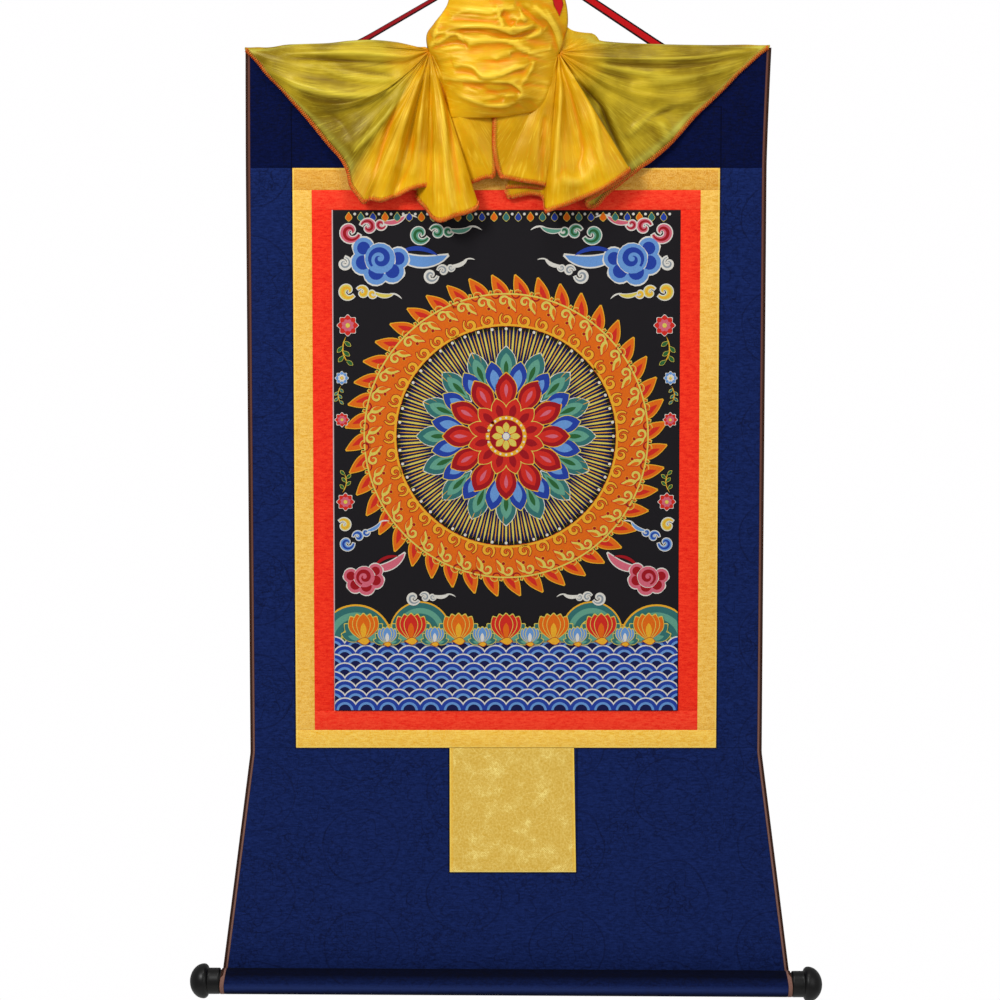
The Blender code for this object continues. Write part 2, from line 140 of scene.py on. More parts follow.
class Thread:
    """A socket inside a material. Sums on it add Math nodes, and node() adds any other node."""

    def __init__(self, tree, socket=None):
        self.tree, self.socket = tree, socket

    def node(self, kind, settings=None, sockets=None, out=0):
        """Adds a node of a type: first its settings, then its sockets' values or links."""
        made = self.tree.nodes.new("ShaderNode" + kind)
        for name, value in (settings or {}).items():
            setattr(made, name, value)
        for name, value in (sockets or {}).items():
            if isinstance(value, Thread):
                self.tree.links.new(value.socket, made.inputs[name])
            else:
                made.inputs[name].default_value = value
        return Thread(self.tree, made.outputs[out])

    def math(self, operation, *values):
        return self.node("Math", {"operation": operation}, dict(enumerate(values)))

    def __add__(self, other):
        return self.math("ADD", self, other)

    def __sub__(self, other):
        return self.math("SUBTRACT", self, other)

    def __rsub__(self, other):
        return self.math("SUBTRACT", other, self)

    def __mul__(self, other):
        return self.math("MULTIPLY", self, other)

    def __truediv__(self, other):
        return self.math("DIVIDE", self, other)

    def __abs__(self):
        return self.math("ABSOLUTE", self)

    __radd__, __rmul__ = __add__, __mul__

    def held(self, low=0.0, high=1.0):
        """The value kept between two limits."""
        return self.math("MINIMUM", self.math("MAXIMUM", self, low), high)

    def sine(self):
        return self.math("SINE", self)

    def wave(self, period):
        """A sine wave between 0 and 1 along the value, such as woven ribs."""
        return (self * (2 * math.pi / period)).sine() * 0.5 + 0.5

    def part(self, period):
        """How far along each repeat of a period the value is, from 0 to 1."""
        return self.math("FRACT", self / period)

    def stroke(self, at, width):
        """A soft line: 1 where the value is at a place, falling to 0 over a width on both sides."""
        return (1.0 - abs(self - at) / width).held()

    def below(self, edge, softness):
        """1 under an edge and 0 over it, with a soft step."""
        return ((edge - self) / softness + 0.5).held()

    def blend(self, share, first, second):
        """A colour between two colours or colour sockets."""
        return self.node("Mix", {"data_type": "RGBA"}, {0: share, 6: first, 7: second}, out=2)

    def place(self, stretch=None):
        """The piece's own coordinates in metres, multiplied by a stretch if one is given."""
        place = self.node("TexCoord", out=3)
        return place if stretch is None else self.node(
            "VectorMath", {"operation": "MULTIPLY"}, {0: place, 1: stretch})

    def noise(self, scale, detail=2.0, place=None, **more):
        """Soft noise of a scale over a place, or over the piece's own coordinates."""
        return self.node("TexNoise", None, {"Vector": place or self.place(), "Scale": scale,
                                            "Detail": detail, **more})

    def painted(self, name, out=2):
        """A value that the mesh keeps at its points."""
        return self.node("Attribute", {"attribute_name": name}, out=out)


def dye(red, green, blue):
    """A colour as read off the photograph, 0 to 255, as the light value that a shader takes."""
    return (*(float(((c / 255 + 0.055) / 1.055) ** 2.4 if c > 10 else c / 3294.6)
              for c in (red, green, blue)), 1.0)


def new_finish(name):
    """A material with its Principled shader, and a thread to start its nodes from."""
    made = bpy.data.materials.new(name)
    made.use_nodes = True
    return made, Thread(made.node_tree)


def dress(made, **sockets):
    """Sets or links the shader's sockets, written with _ for a space."""
    shader = made.node_tree.nodes["Principled BSDF"]
    for name, value in sockets.items():
        socket = shader.inputs[name.replace("_", " ")]
        if isinstance(value, Thread):
            made.node_tree.links.new(value.socket, socket)
        else:
            socket.default_value = value
    return made


def cloth_place(thread):
    """Across and along the cloth in millimetres, from the piece's own UV map in metres."""
    split = thread.node("SeparateXYZ", None, {0: thread.node("UVMap", {"uv_map": "cloth"})})
    return [Thread(thread.tree, out) * (1 / MM) for out in split.socket.node.outputs[:2]]


def relief(thread, height, depth, strength=1.0):
    """A normal from a height of 0 to 1 over a depth in millimetres."""
    return thread.node("Bump", None, {"Strength": strength, "Distance": depth * MM, "Height": height})


def add_piece(name, points, faces, finish, places=None, smooth=True):
    """A piece from points in millimetres, its faces, and the cloth places of its points."""
    mesh = bpy.data.meshes.new(name)
    mesh.from_pydata((np.asarray(points).reshape(-1, 3) * MM).tolist(), [], np.asarray(faces).tolist())
    if places is not None:
        corners = np.empty(len(mesh.loops), np.int32)
        mesh.loops.foreach_get("vertex_index", corners)
        flat = np.asarray(places).reshape(-1, 2) * MM
        mesh.uv_layers.new(name="cloth").data.foreach_set("uv", flat[corners].astype(np.float32).ravel())
    mesh.shade_smooth() if smooth else mesh.shade_flat()
    mesh.materials.append(finish)
    made = bpy.data.objects.new(name, mesh)
    bpy.context.scene.collection.objects.link(made)
    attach(made, "root")
    return made


def grid_faces(rows, columns, start=0, ring=False):
    """Quads of a grid whose points run row by row, closed into a ring along its rows if asked."""
    row = np.arange(rows - 1)[:, None]
    column = np.arange(columns if ring else columns - 1)[None, :]
    beside = (column + 1) % columns
    corners = [row * columns + column, row * columns + beside,
               (row + 1) * columns + beside, (row + 1) * columns + column]
    return np.stack(np.broadcast_arrays(*corners), axis=-1).reshape(-1, 4) + start


def unit(rows):
    """Each row made one long."""
    return rows / np.maximum(np.linalg.norm(rows, axis=-1, keepdims=True), 1e-9)


def gone_along(line):
    """How far along a line of points each point lies."""
    return np.concatenate([[0], np.linalg.norm(np.diff(line, axis=0), axis=1).cumsum()])


def tape_route():
    """Centres and width directions of the tape: two straight strands that turn on edge, and the crown."""
    halves = []
    for side, lean_left in zip((-1, 1), TAPE_LEANS):
        foot = np.array([CENTRE_X + side * TAPE_FOOT_X, TAPE_FOOT_Y, TOP_Z])
        top = np.array([side * TAPE_BEND, 0.0, TAPE_SHOULDER_Z])
        run = (foot - top) / np.linalg.norm(foot - top)
        share = np.linspace(0, 1, 41)[:, None]
        behind = foot + run * (1, 0, 1) * TAPE_FOOT_RUN * np.linspace(1, 0, 7)[:-1, None]
        turn = lean_left * (1 - share) ** 0.16 + (math.pi / 2 - lean_left) * np.exp(-share / 0.035)
        turn = np.concatenate([np.full((6, 1), math.pi / 2), turn])
        flat = np.cross(run, (0.0, 1.0, 0.0))
        wide = side * np.sin(turn) * flat + np.cos(turn) * np.array([0.0, 1.0, 0.0])
        halves.append((np.concatenate([behind, foot + (top - foot) * share]), wide))
    crown = (np.array([[0.0, 0.0, TAPE_TOP_Z]]), np.array([[0.0, 1.0, 0.0]]))
    return [np.concatenate([halves[0][k], crown[k], halves[1][k][::-1]]) for k in range(2)]


def flat_band(centres, wide, width, thick):
    """A band of oval-edged section carried along its centres: a grid of points and its cloth places."""
    turn = np.linspace(0, 2 * math.pi, 16, endpoint=False)
    across = np.sign(np.cos(turn)) * np.abs(np.cos(turn)) ** 0.45 * width / 2
    depth = np.sign(np.sin(turn)) * np.abs(np.sin(turn)) ** 0.75 * thick / 2
    face = unit(np.cross(np.gradient(centres, axis=0), wide))
    grid = centres[:, None] + across[:, None] * wide[:, None] + depth[:, None] * face[:, None]
    return grid, np.stack(np.broadcast_arrays(across[None], gone_along(centres)[:, None]), axis=-1)


def tape_finish():
    """Red tape with fine cross ribs, painted shade along both edges, and a left strand made darker with
    painted shade.
    """
    made, thread = new_finish("red tape")
    across, along = cloth_place(thread)
    rib = along.wave(1.1)
    edge = ((abs(across) - 3.5) / 0.4).held()
    wear = thread.noise(60.0)
    side = thread.node("SeparateXYZ", None, {"Vector": thread.place()}) / (200.0 * MM) + 0.5
    # Painted shade: the left strand is darker than the right.
    colour = thread.blend(side.held(), dye(112, 0, 14), dye(184, 0, 8))
    colour = thread.blend((rib * 0.6 + wear * 0.3) * 0.5, colour, dye(206, 26, 30))
    # Painted shade along both edges of the tape.
    colour = thread.blend(edge, colour, dye(26, 2, 4))
    return dress(made, Base_Color=colour, Roughness=0.7 - rib * 0.12, Specular_IOR_Level=0.12,
                 Normal=relief(thread, rib * 0.7 + across.wave(1.5) * 0.3, 0.35))


tape_centres, tape_wide = tape_route()
tape_grid, tape_places = flat_band(tape_centres, tape_wide, TAPE_WIDTH, TAPE_THICK)
tape = add_piece("hanging_tape_woven", tape_grid, grid_faces(*tape_grid.shape[:2], ring=True),
                 tape_finish(), tape_places)
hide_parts("hanging_tape")
float(gone_along(tape_centres)[-1]) * MM


# ---- Silk veil --------------------------------------------------------------------------
# One cloth of yellow satin that can fall over the picture as a cover. It is sewn along the
# top edge, lifted, gathered at a point on each side and bunched over the tape, so that it
# falls in two wings, two short skirts and the swags of the bunch between them.

SILK_THICK = 0.5
HUB_RADIUS = 1.6
FAN_ROWS = 58
HEM_STEP = 4.6                      # between the columns of a fan, along its hem
# x, z, distance in front, and how far the ray to that point sags and bulges at its middle.
LEFT_HUB = (-110.5, -125.1, 16.0, 127.0, 338.0)     # x, z, in front, first and last ray
LEFT_HEM = (
    (-116, -120, 15, 0, 0), (-130, -119, 9, 0, 1), (-153, -113, 6.5, 0, 2),
    (-185, -110, 5, 0, 4), (-213, -111, 4.8, 0, 5), (-240, -114, 4.5, 0, 6),
    (-270, -115, 4.2, 0, 7), (-295, -116, 4, 1, 7), (-313, -119, 3, 4, 6),
    (-331, -121, 2.6, 12, 8), (-348, -121, 2.4, 22, 11), (-334, -136, 3.2, 38, 9),
    (-317, -157, 4, 46, 7), (-302, -172, 4.6, 42, 9), (-284, -192, 5.5, 32, 9),
    (-268, -210, 6, 22, 6), (-242, -242, 7.5, 12, 7), (-226, -260, 9, 7, 9),
    (-217, -277, 12, 4, 9), (-213, -295, 16, 2, 7), (-204, -308, 20, 1, 4),
    (-195, -319, 23, 0, 4), (-188, -313, 21, 0, 3), (-174, -316, 24, 0, 5),
    (-164, -313, 20, 0, 3), (-156, -310, 14, 0, 0), (-146, -306, 18, 0, 2),
    (-136, -301, 22, 0, 5), (-123, -297, 20, 0, 4), (-109, -296, 15, 0, 1),
    (-119, -299, 8, 0, -2), (-128, -308, 6, 0, -2), (-124, -317, 10, 0, 0),
    (-116, -325, 17, 0, 2), (-108, -337, 27, 0, 3), (-97, -342, 36, 0, 4),
    (-85, -338, 40, 0, 4), (-74, -334, 37, 0, 2), (-65, -332, 38, 0, 3),
    (-57, -329, 34, 0, 3), (-50, -325, 26, 0, 1), (-49, -319, 20, 0, 0),
    (-62, -316, 13, 0, -1), (-70, -308, 10, 0, -1), (-70, -301, 10, 0, 0),
    (-62, -294, 12, 0, 1), (-49, -289, 15, 0, 3), (-38, -285, 18, 0, 5),
    (-28, -283, 19, 0, 5), (-26.4, -251, 19, 0, 4), (-26.4, -212, 19, 0, 2),
    (-25, -181, 20, 0, 0),
)
RIGHT_HUB = (54.0, -127.6, 16.0, 68.0, -158.0)
RIGHT_HEM = (
    (59, -89, 16, 0, 0), (70, -98, 14, 0, 0), (84, -101, 11, 0, 0),
    (97, -102, 9, 0, 1), (103, -106, 7.5, 0, 2), (108, -111, 6.5, 0, 2),
    (139, -114, 5.5, 0, 4), (173, -115, 5, 0, 5), (208, -116, 4.5, 0, 6),
    (254, -117, 4, 2, 7), (286, -118, 3.4, 5, 7), (299, -118, 3, 8, 7),
    (312, -117, 2.8, 12, 8), (325, -118, 2.4, 16, 10), (313, -127, 2.8, 26, 8),
    (303, -136, 3.2, 32, 7), (283, -154, 4, 36, 8), (269, -169, 4.5, 34, 10),
    (247, -190, 5, 28, 8), (230, -206, 5.5, 22, 6), (210, -229, 6.5, 15, 8),
    (198, -242, 7, 10, 8), (175, -262, 8, 5, 6), (159, -273, 9, 2, 3),
    (136, -291, 9, 0, 0), (115, -308, 8, 0, -2), (105, -320, 8, 0, -2),
    (95, -324, 9, 0, -2), (89, -317, 12, 0, 0), (102, -309, 16, 0, 2),
    (126, -294, 22, 0, 4), (142, -280, 27, 0, 5), (146, -276, 31, 0, 7),
    (137, -283, 34, 0, 8), (121, -294, 36, 0, 8), (106, -303, 35, 0, 6),
    (85, -312, 30, 0, 4), (71, -318, 33, 0, 6), (55, -324, 36, 0, 6),
    (45, -327, 34, 0, 4), (37, -330, 28, 0, 1), (35, -320, 20, 0, -1),
    (33, -310, 14, 0, -2), (23, -306, 9, 0, -2), (11, -307, 8, 0, -2),
    (-3, -310, 8, 0, -2), (-11, -311, 8, 0, -2), (-13, -303, 8, 0, -2),
    (-13, -298, 9, 0, -2), (11, -297, 10, 0, -1), (30, -299, 13, 0, 0),
    (40, -299, 18, 0, 2), (38, -296, 22, 0, 4), (24, -293, 23, 0, 5),
    (5, -290, 22, 0, 6), (-13, -286, 20, 0, 5), (-21, -283, 19, 0, 4),
    (-29, -251, 21.5, 0, 4), (-29, -212, 21.5, 0, 2), (-29, -181, 22, 0, 0),
)
LEFT_WING_END, RIGHT_WING_END = 19.4, 27.0   # rows of the hems where the wings meet the skirts
LEFT_SEWN, RIGHT_SEWN = (2.0, 10.0), (6.0, 13.0)  # rows that are sewn over the top edge

# Folds: height, width on the left of the line, width on its right, and the line's x, z.
FAN_FOLDS = (
    (4, 9, 4, ((-254, -139), (-242, -148), (-223, -155.5), (-197, -160.5), (-174, -162.4), (-158, -162),
        (-140, -153))),
    (5, 10, 5, ((-325, -144), (-307, -155), (-262, -176), (-205, -184), (-159, -173), (-131, -149))),
    (4, 7, 3, ((-308, -128), (-251, -128), (-193, -129), (-142, -133), (-118, -128))),
    (5, 8, 5, ((-212, -255), (-181, -225), (-147, -187), (-126, -154))),
    (4, 5, 4, ((-185, -304), (-164, -260), (-144, -207), (-120, -146))),
    (5, 6, 5, ((-154, -276), (-146, -231), (-132, -187), (-117, -146))),
    (3, 4, 4, ((-134, -288), (-125, -231), (-118, -174), (-113, -144))),
    (5, 5, 5, ((-81, -329), (-88, -291), (-94, -200), (-103, -146))),
    (4, 4, 4, ((-102, -332), (-105, -269), (-107, -207), (-109, -149))),
    (5, 5, 5, ((47, -314), (51, -250), (56, -187), (58, -146))),
    (6, 9, 12, ((57, -283), (69, -291), (88, -288), (102, -269))),
    (5, 6, 4, ((115, -288), (106, -250), (97, -206), (76, -162), (63, -141))),
    (4, 7, 3, ((64, -124), (93, -133), (132, -135), (184, -136), (234, -134), (286, -126), (300, -129))),
    (5, 8, 5, ((75, -131), (119, -146), (170, -157), (222, -157), (279, -144))),
    (3, 6, 3, ((144, -235), (153, -222), (189, -197), (235, -187))),
    (4, 8, 6, ((148, -227), (171, -215), (189, -222), (199, -250))),
    (3, 6, 6, ((145, -169), (167, -168), (202, -165), (237, -162))),
    (4, 6, 6, ((196, -239), (189, -225), (184, -215))),
    (4, 8, 8, ((-290, -164), (-267, -170), (-242, -177), (-198, -184), (-158, -174))),
    (2, 9, 9, ((-47, -269), (-52, -238), (-59, -215))),
)
FAN_CREASES = (
    (-4, 3, 4, ((-188, -309), (-175, -260), (-158, -207), (-126, -144))),
    (-3, 3, 3, ((-158, -302), (-136, -271), (-128, -229))),
    (-6, 3, 3, ((-109, -296), (-107, -229), (-109, -155))),
    (-5, 3.2, 3.2, ((-72, -309), (-81, -249), (-91, -187), (-98, -159))),
    (-5, 3, 3, ((33, -291), (35, -207))),
    (-4, 3, 3, ((76, -274), (84, -249), (71, -187), (57, -144))),
    (-7, 4, 3.2, ((147, -273), (133, -249), (118, -217), (106, -191), (74, -162))),
    (-5, 9, 7, ((-256, -142), (-226, -147), (-200, -151.5), (-172, -156), (-150, -159))),
    (-4, 3.4, 4, ((-295, -134), (-238, -136), (-174, -140), (-132, -139))),
    (-4, 3.4, 4, ((94, -139), (139, -143), (184, -144), (234, -139), (288, -130))),
    (-2.5, 3, 6, ((96, -149), (145, -155), (209, -154), (253, -146))),
    (-2.5, 3.2, 3.2, ((155, -221), (171, -210), (187, -201), (203, -197))),
    (-3, 8, 10, ((-276, -181), (-251, -197), (-225, -215), (-213, -238))),
)
# Levels of the bunch, from its tail behind the tape to its turned-under foot: left x, right x,
# left z, right z, droop at mid width, distance in front, bulge.
BUNCH = (
    (-26, 20, -42, -42, 4, -15, -4), (-27, 21, -8, -8, 0, -14, -3), (-26, 20, 9, 9, 0, 0, 0),
    (-44, 36, -10, -10, 4, 14, 10), (-79, 53, -38, -36, 8, 17, 20),
    (-88.5, 62.9, -68, -64, 10, 18, 24), (-104.5, 65.6, -89.5, -86.3, 6, 16, 28),
    (-114.5, 63.5, -105, -100, 6, 14, 28), (-112.5, 56.5, -124.9, -120, 12, 14, 29),
    (-105, 52.5, -142, -137, 16, 15, 30), (-98, 50.5, -160, -155, 18, 16, 28),
    (-90, 46, -182, -176, 14, 18, 22), (-83.4, 38, -208, -198, 6, 20, 9),
    (-80, 34, -204, -194, 4, 16, 2), (-76, 30, -184, -178, 2, 14, 0),
)
BUNCH_ROWS, BUNCH_COLUMNS = 120, 104
BUNCH_FOLDS = (
    (5, 8.5, 3, ((-85, -81), (-63, -76), (-31, -79), (-23, -72))),
    (5, 5.6, 3, ((-26, -71), (-22, -82), (-17, -96))),
    (8, 11.9, 3, ((-108, -107), (-87, -99), (-63, -96), (-31, -97), (-15, -101), (-3, -104), (14, -97),
        (24, -89))),
    (4, 2.5, 2.5, ((3, -72), (11, -91))),
    (6, 5.6, 3, ((21, -70), (43, -91), (53, -112), (56, -130))),
    (4, 4.2, 2.5, ((31, -95), (27, -104), (4, -112))),
    (5, 4.2, 2.5, ((-102, -117), (-92, -110), (-76, -105), (-65, -119))),
    (7, 10.2, 3, ((-64, -119), (-44, -115), (-18, -114), (0, -120), (13, -131))),
    (3, 5.6, 4, ((-27, -140), (-21, -132), (-6, -129), (8, -130))),
    (8, 10.2, 3, ((-80, -146), (-69, -144), (-54, -148), (-44, -157), (-30, -158), (-11, -153), (6, -147),
        (17, -142))),
    (8, 10.2, 3, ((-99, -158), (-69, -163), (-31, -165), (-9, -166), (4, -174), (6, -181), (-1, -190))),
    (5, 8.5, 4, ((-87, -171), (-63, -185), (-31, -195), (-12, -195), (1, -189))),
    (4, 4.2, 3, ((22, -137), (17, -152), (3, -172))),
    (3, 4.2, 3, ((13, -129), (31, -125), (46, -122))),
    (3, 10.2, 6, ((41, -160), (36, -180), (25, -195))),
    (4, 4, 4, ((-93, -77), (-101, -95), (-105, -110), (-108, -124))),
    (5, 3.5, 3.5, ((35, -71), (51, -95), (58, -114), (60, -127))),
)
BUNCH_CREASES = (
    (-9, 7, 7, ((-20, -80), (-11, -87), (-3, -94))),
    (-7, 5, 6, ((-2, -68), (13, -80), (26, -90), (36, -98))),
    (-3, 6, 6, ((3, -109), (23, -116), (42, -121))),
    (-5, 2, 3, ((-82, -86), (-63, -87), (-44, -89), (-23, -91))),
    (-5, 2.5, 3, ((-88, -103), (-49, -103), (-18, -108), (7, -107), (25, -99))),
    (-7, 3, 2.5, ((-109, -122), (-88, -118), (-70, -117), (-61, -121))),
    (-5, 3, 3, ((-8, -132), (3, -129), (14, -133))),
    (-5, 6, 6, ((-69, -169), (-44, -173), (-25, -182), (-15, -188))),
    (-5, 3, 3, ((-109, -127), (-101, -144), (-97, -162), (-89, -184))),
    (-3, 3, 3, ((-79, -152), (-59, -156), (-44, -162))),
)
SAG_OF_FOLDS = 0.45                 # how far a swag rolls down, as a share of its height
FOLD_DEPTH = 1.2                    # what the fans' folds and creases are deepened by
BUNCH_DEPTH = 0.72                  # what the bunch's are made shallower by
BUNCH_SHOW = 1.15                   # and how much more their painted highlights and painted fold shade show
CREST = 1.6                         # height over its surroundings at which the painted highlight is strongest
CLEAR = 2.2                         # the least distance of a fan in front of the mount
SLEEVE_BACK = 7.6                   # where the sewn edge ends behind the sleeve
SEWN_BACK_Z, SEWN_PEAK_Z = (-115.4, 2.9), (-116.6, 3.2)    # and how much lower at the left corner
LEFT_CORNER_X, LEFT_CORNER_WIDTH = -268.0, 30.0
WELD = 2e-6                         # in metres: points closer than this are one


def read_rows(table, places):
    """A table's rows read between its lines, on cubic curves that meet at each row with a slope of
    half the step from the row before it to the row after it."""
    table = np.asarray(table, float)
    places = np.clip(places, 0, len(table) - 1)
    base = np.minimum(places.astype(int), len(table) - 2)
    t = (places - base)[:, None]
    p0, p1 = table[np.maximum(base - 1, 0)], table[base]
    p2, p3 = table[base + 1], table[np.minimum(base + 2, len(table) - 1)]
    return 0.5 * (2 * p1 + (p2 - p0) * t + (2 * p0 - 5 * p1 + 4 * p2 - p3) * t**2
                  + (3 * p1 - p0 - 3 * p2 + p3) * t**3)


def even_rows(table, step):
    """A table's curve read at even steps along its first four columns, with each row's place."""
    fine = np.linspace(0, len(table) - 1, len(table) * 24)
    gone = gone_along(read_rows(table, fine)[:, :4])
    places = np.interp(np.linspace(0, gone[-1], int(gone[-1] / step) + 1), gone, fine)
    return read_rows(table, places), places


def fold_height(x, z, folds):
    """The sum of soft ridges along lines. Each is its height times a bell of the distance from the
    line to the power 1.5, with a width for each side, and it fades out at both ends."""
    total = np.zeros(x.shape)
    for height, left, right, line in folds:
        curve = read_rows(line, np.linspace(0, len(line) - 1, 6 * len(line)))
        a, run = curve[:-1], np.diff(curve, axis=0)
        off_x, off_z = x[..., None] - a[:, 0], z[..., None] - a[:, 1]
        share = np.clip((off_x * run[:, 0] + off_z * run[:, 1]) / (run**2).sum(axis=1), 0, 1)
        away = np.hypot(off_x - share * run[:, 0], off_z - share * run[:, 1])
        side = run[:, 0] * off_z - run[:, 1] * off_x
        near = away.argmin(axis=-1)[..., None]
        away, side, share = (np.take_along_axis(each, near, -1)[..., 0] for each in (away, side, share))
        fade = np.sin(math.pi * np.clip((near[..., 0] + share) / len(run), 0, 1)) ** 0.6
        total += height * fade * np.exp(-(away / np.where(side > 0, left, right)) ** 1.5)
    return total


def smooth_noise(x, y, seed, cells=64):
    """Noise of -1 to 1 over a plane: random values on a lattice, eased between its points."""
    lattice = np.random.default_rng(seed).uniform(-1, 1, (cells, cells))
    i, j = np.floor(x).astype(int), np.floor(y).astype(int)
    s, t = x - i, y - j
    s, t = s * s * (3 - 2 * s), t * t * (3 - 2 * t)
    corner = [lattice[(i + a) % cells, (j + b) % cells] for a in (0, 1) for b in (0, 1)]
    return (corner[0] * (1 - s) + corner[2] * s) * (1 - t) + (corner[1] * (1 - s) + corner[3] * s) * t


def smoothed(field, times):
    """A grid of values averaged with their neighbours, again and again."""
    for _ in range(times):
        wide = np.pad(field, 1, mode="edge")
        field = (wide[:-2, 1:-1] + wide[2:, 1:-1] + wide[1:-1, :-2] + wide[1:-1, 2:] + 2 * field) / 6
    return field


def fold_light(height):
    """How far silk stands over (1) or under (0) its surroundings, with 0.5 as level: the share of painted
    highlight against painted fold shade.
    """
    return np.clip(0.5 + (height - smoothed(height, 9)) / (2 * CREST), 0, 1)


def fan(hub, hem, wing_end, seed):
    """A gathered fan: rays from a small ring at the hub to the hem, sagging and bulging on the way,
    with the named folds, gathers that spread from the hub, and fine wrinkles."""
    edge, places = even_rows(hem, HEM_STEP)
    x, z, out, sag, bulge = edge.T[:, None]
    turn = np.radians(np.linspace(hub[3], hub[4], len(edge)))[None, :]
    v = np.linspace(0, 1, FAN_ROWS)[:, None] ** 1.2
    arch = 4 * v * (1 - v)
    ring_x, ring_z = hub[0] + HUB_RADIUS * np.cos(turn), hub[1] + HUB_RADIUS * np.sin(turn)
    px = ring_x + (x - ring_x) * v
    pz = ring_z + (z - ring_z) * v - sag * arch
    depth = hub[2] + (out - hub[2]) * v + bulge * arch
    reach = np.hypot(px - hub[0], pz - hub[1])
    rays = np.degrees(turn) + np.zeros_like(v)
    spread = np.clip(reach / 14.0, 0, 1) * np.exp(-reach / 85.0)
    gathers = (smooth_noise(rays / 6.0, reach / 90.0, seed) * 3.0
               + smooth_noise(rays / 2.6, reach / 60.0, seed + 2) * 1.2) * spread
    wrinkles = smooth_noise(rays / 9.0 + reach / 60.0, reach / 34.0, seed + 1) * 0.9 * arch
    held = np.clip(v * 5, 0, 1) * (1 - 0.5 * v**6)
    folds = fold_height(px, pz, FAN_FOLDS) + fold_height(px, pz, FAN_CREASES)
    broad = smooth_noise(px / 46.0 + seed, pz / 30.0, seed + 3) * 2.6 * arch
    height = folds * held * FOLD_DEPTH + gathers + wrinkles + broad
    wing = np.clip((wing_end - places[None, :]) / 1.2, 0, 1) * np.clip((reach - 18) / 45, 0, 1)
    # Painted highlight and painted fold shade, with more painted shade near the hub.
    stands = smoothed(fold_light(height), 2) - 0.4 * np.exp(-(reach / 9.0) ** 2)
    turned = np.exp(-((np.hypot(px - x, pz - z) - 9.0) / 4.5) ** 2) * wing
    return np.stack([px, -np.maximum(depth + height, CLEAR), pz], axis=-1), wing, stands, turned, places


def bunch():
    """The bunch: a drooping, bulging row for each level, with its swags as folds that roll down."""
    level = np.linspace(0, len(BUNCH) - 1, BUNCH_ROWS)
    left, right, left_z, right_z, droop, out, bulge = read_rows(BUNCH, level).T[..., None]
    s = np.linspace(0, 1, BUNCH_COLUMNS)[None, :]
    arch = np.sin(math.pi * s)
    x = left + (right - left) * s
    z = left_z + (right_z - left_z) * s - droop * arch
    front = np.clip((level[:, None] - 3.0) / 1.5, 0, 1) * np.clip((12.4 - level[:, None]) / 0.8, 0, 1)
    ridges = fold_height(x, z, BUNCH_FOLDS) * BUNCH_DEPTH
    wander = z + smooth_noise(x / 40.0, z / 30.0, 3) * 5.0
    wrinkles = (smooth_noise(x / 30.0, wander / 6.5, 5) * 1.6
                + smooth_noise(x / 13.0 + 7, wander / 4.0, 6) * 0.6) * arch ** 0.5
    height = (ridges + fold_height(x, z, BUNCH_CREASES) * BUNCH_DEPTH + wrinkles) * front
    z = z - np.maximum(ridges, 0) * SAG_OF_FOLDS * front
    # The share of painted highlight and painted fold shade reads the bunch's folds at their full depth, and
    # a little more.
    return (np.stack([x, -(out + bulge * arch ** 0.7 + height), z], axis=-1),
            fold_light(height / BUNCH_DEPTH * BUNCH_SHOW))


def sewn_strip(grid, places, rows_sewn):
    """The strip that carries a fan's top edge over the sleeve: from the edge it rises a little
    and turns down to the sleeve's back, in even steps on an arch that is lower at the left corner."""
    edge = grid[-1][(places >= rows_sewn[0]) & (places <= rows_sewn[1])]
    t = np.linspace(0, 1, 8)[:, None]
    y = edge[:, 1] + (SLEEVE_BACK - edge[:, 1]) * t
    left = np.clip((LEFT_CORNER_X - edge[:, 0]) / LEFT_CORNER_WIDTH, 0, 1)
    back, peak = (level - lower * left for level, lower in (SEWN_BACK_Z, SEWN_PEAK_Z))
    z = edge[:, 2] + (back - edge[:, 2]) * t + np.maximum(peak - edge[:, 2], 0.4) * 4 * t * (1 - t)
    return np.stack([edge[:, 0] + 0 * t, y, z], axis=-1)


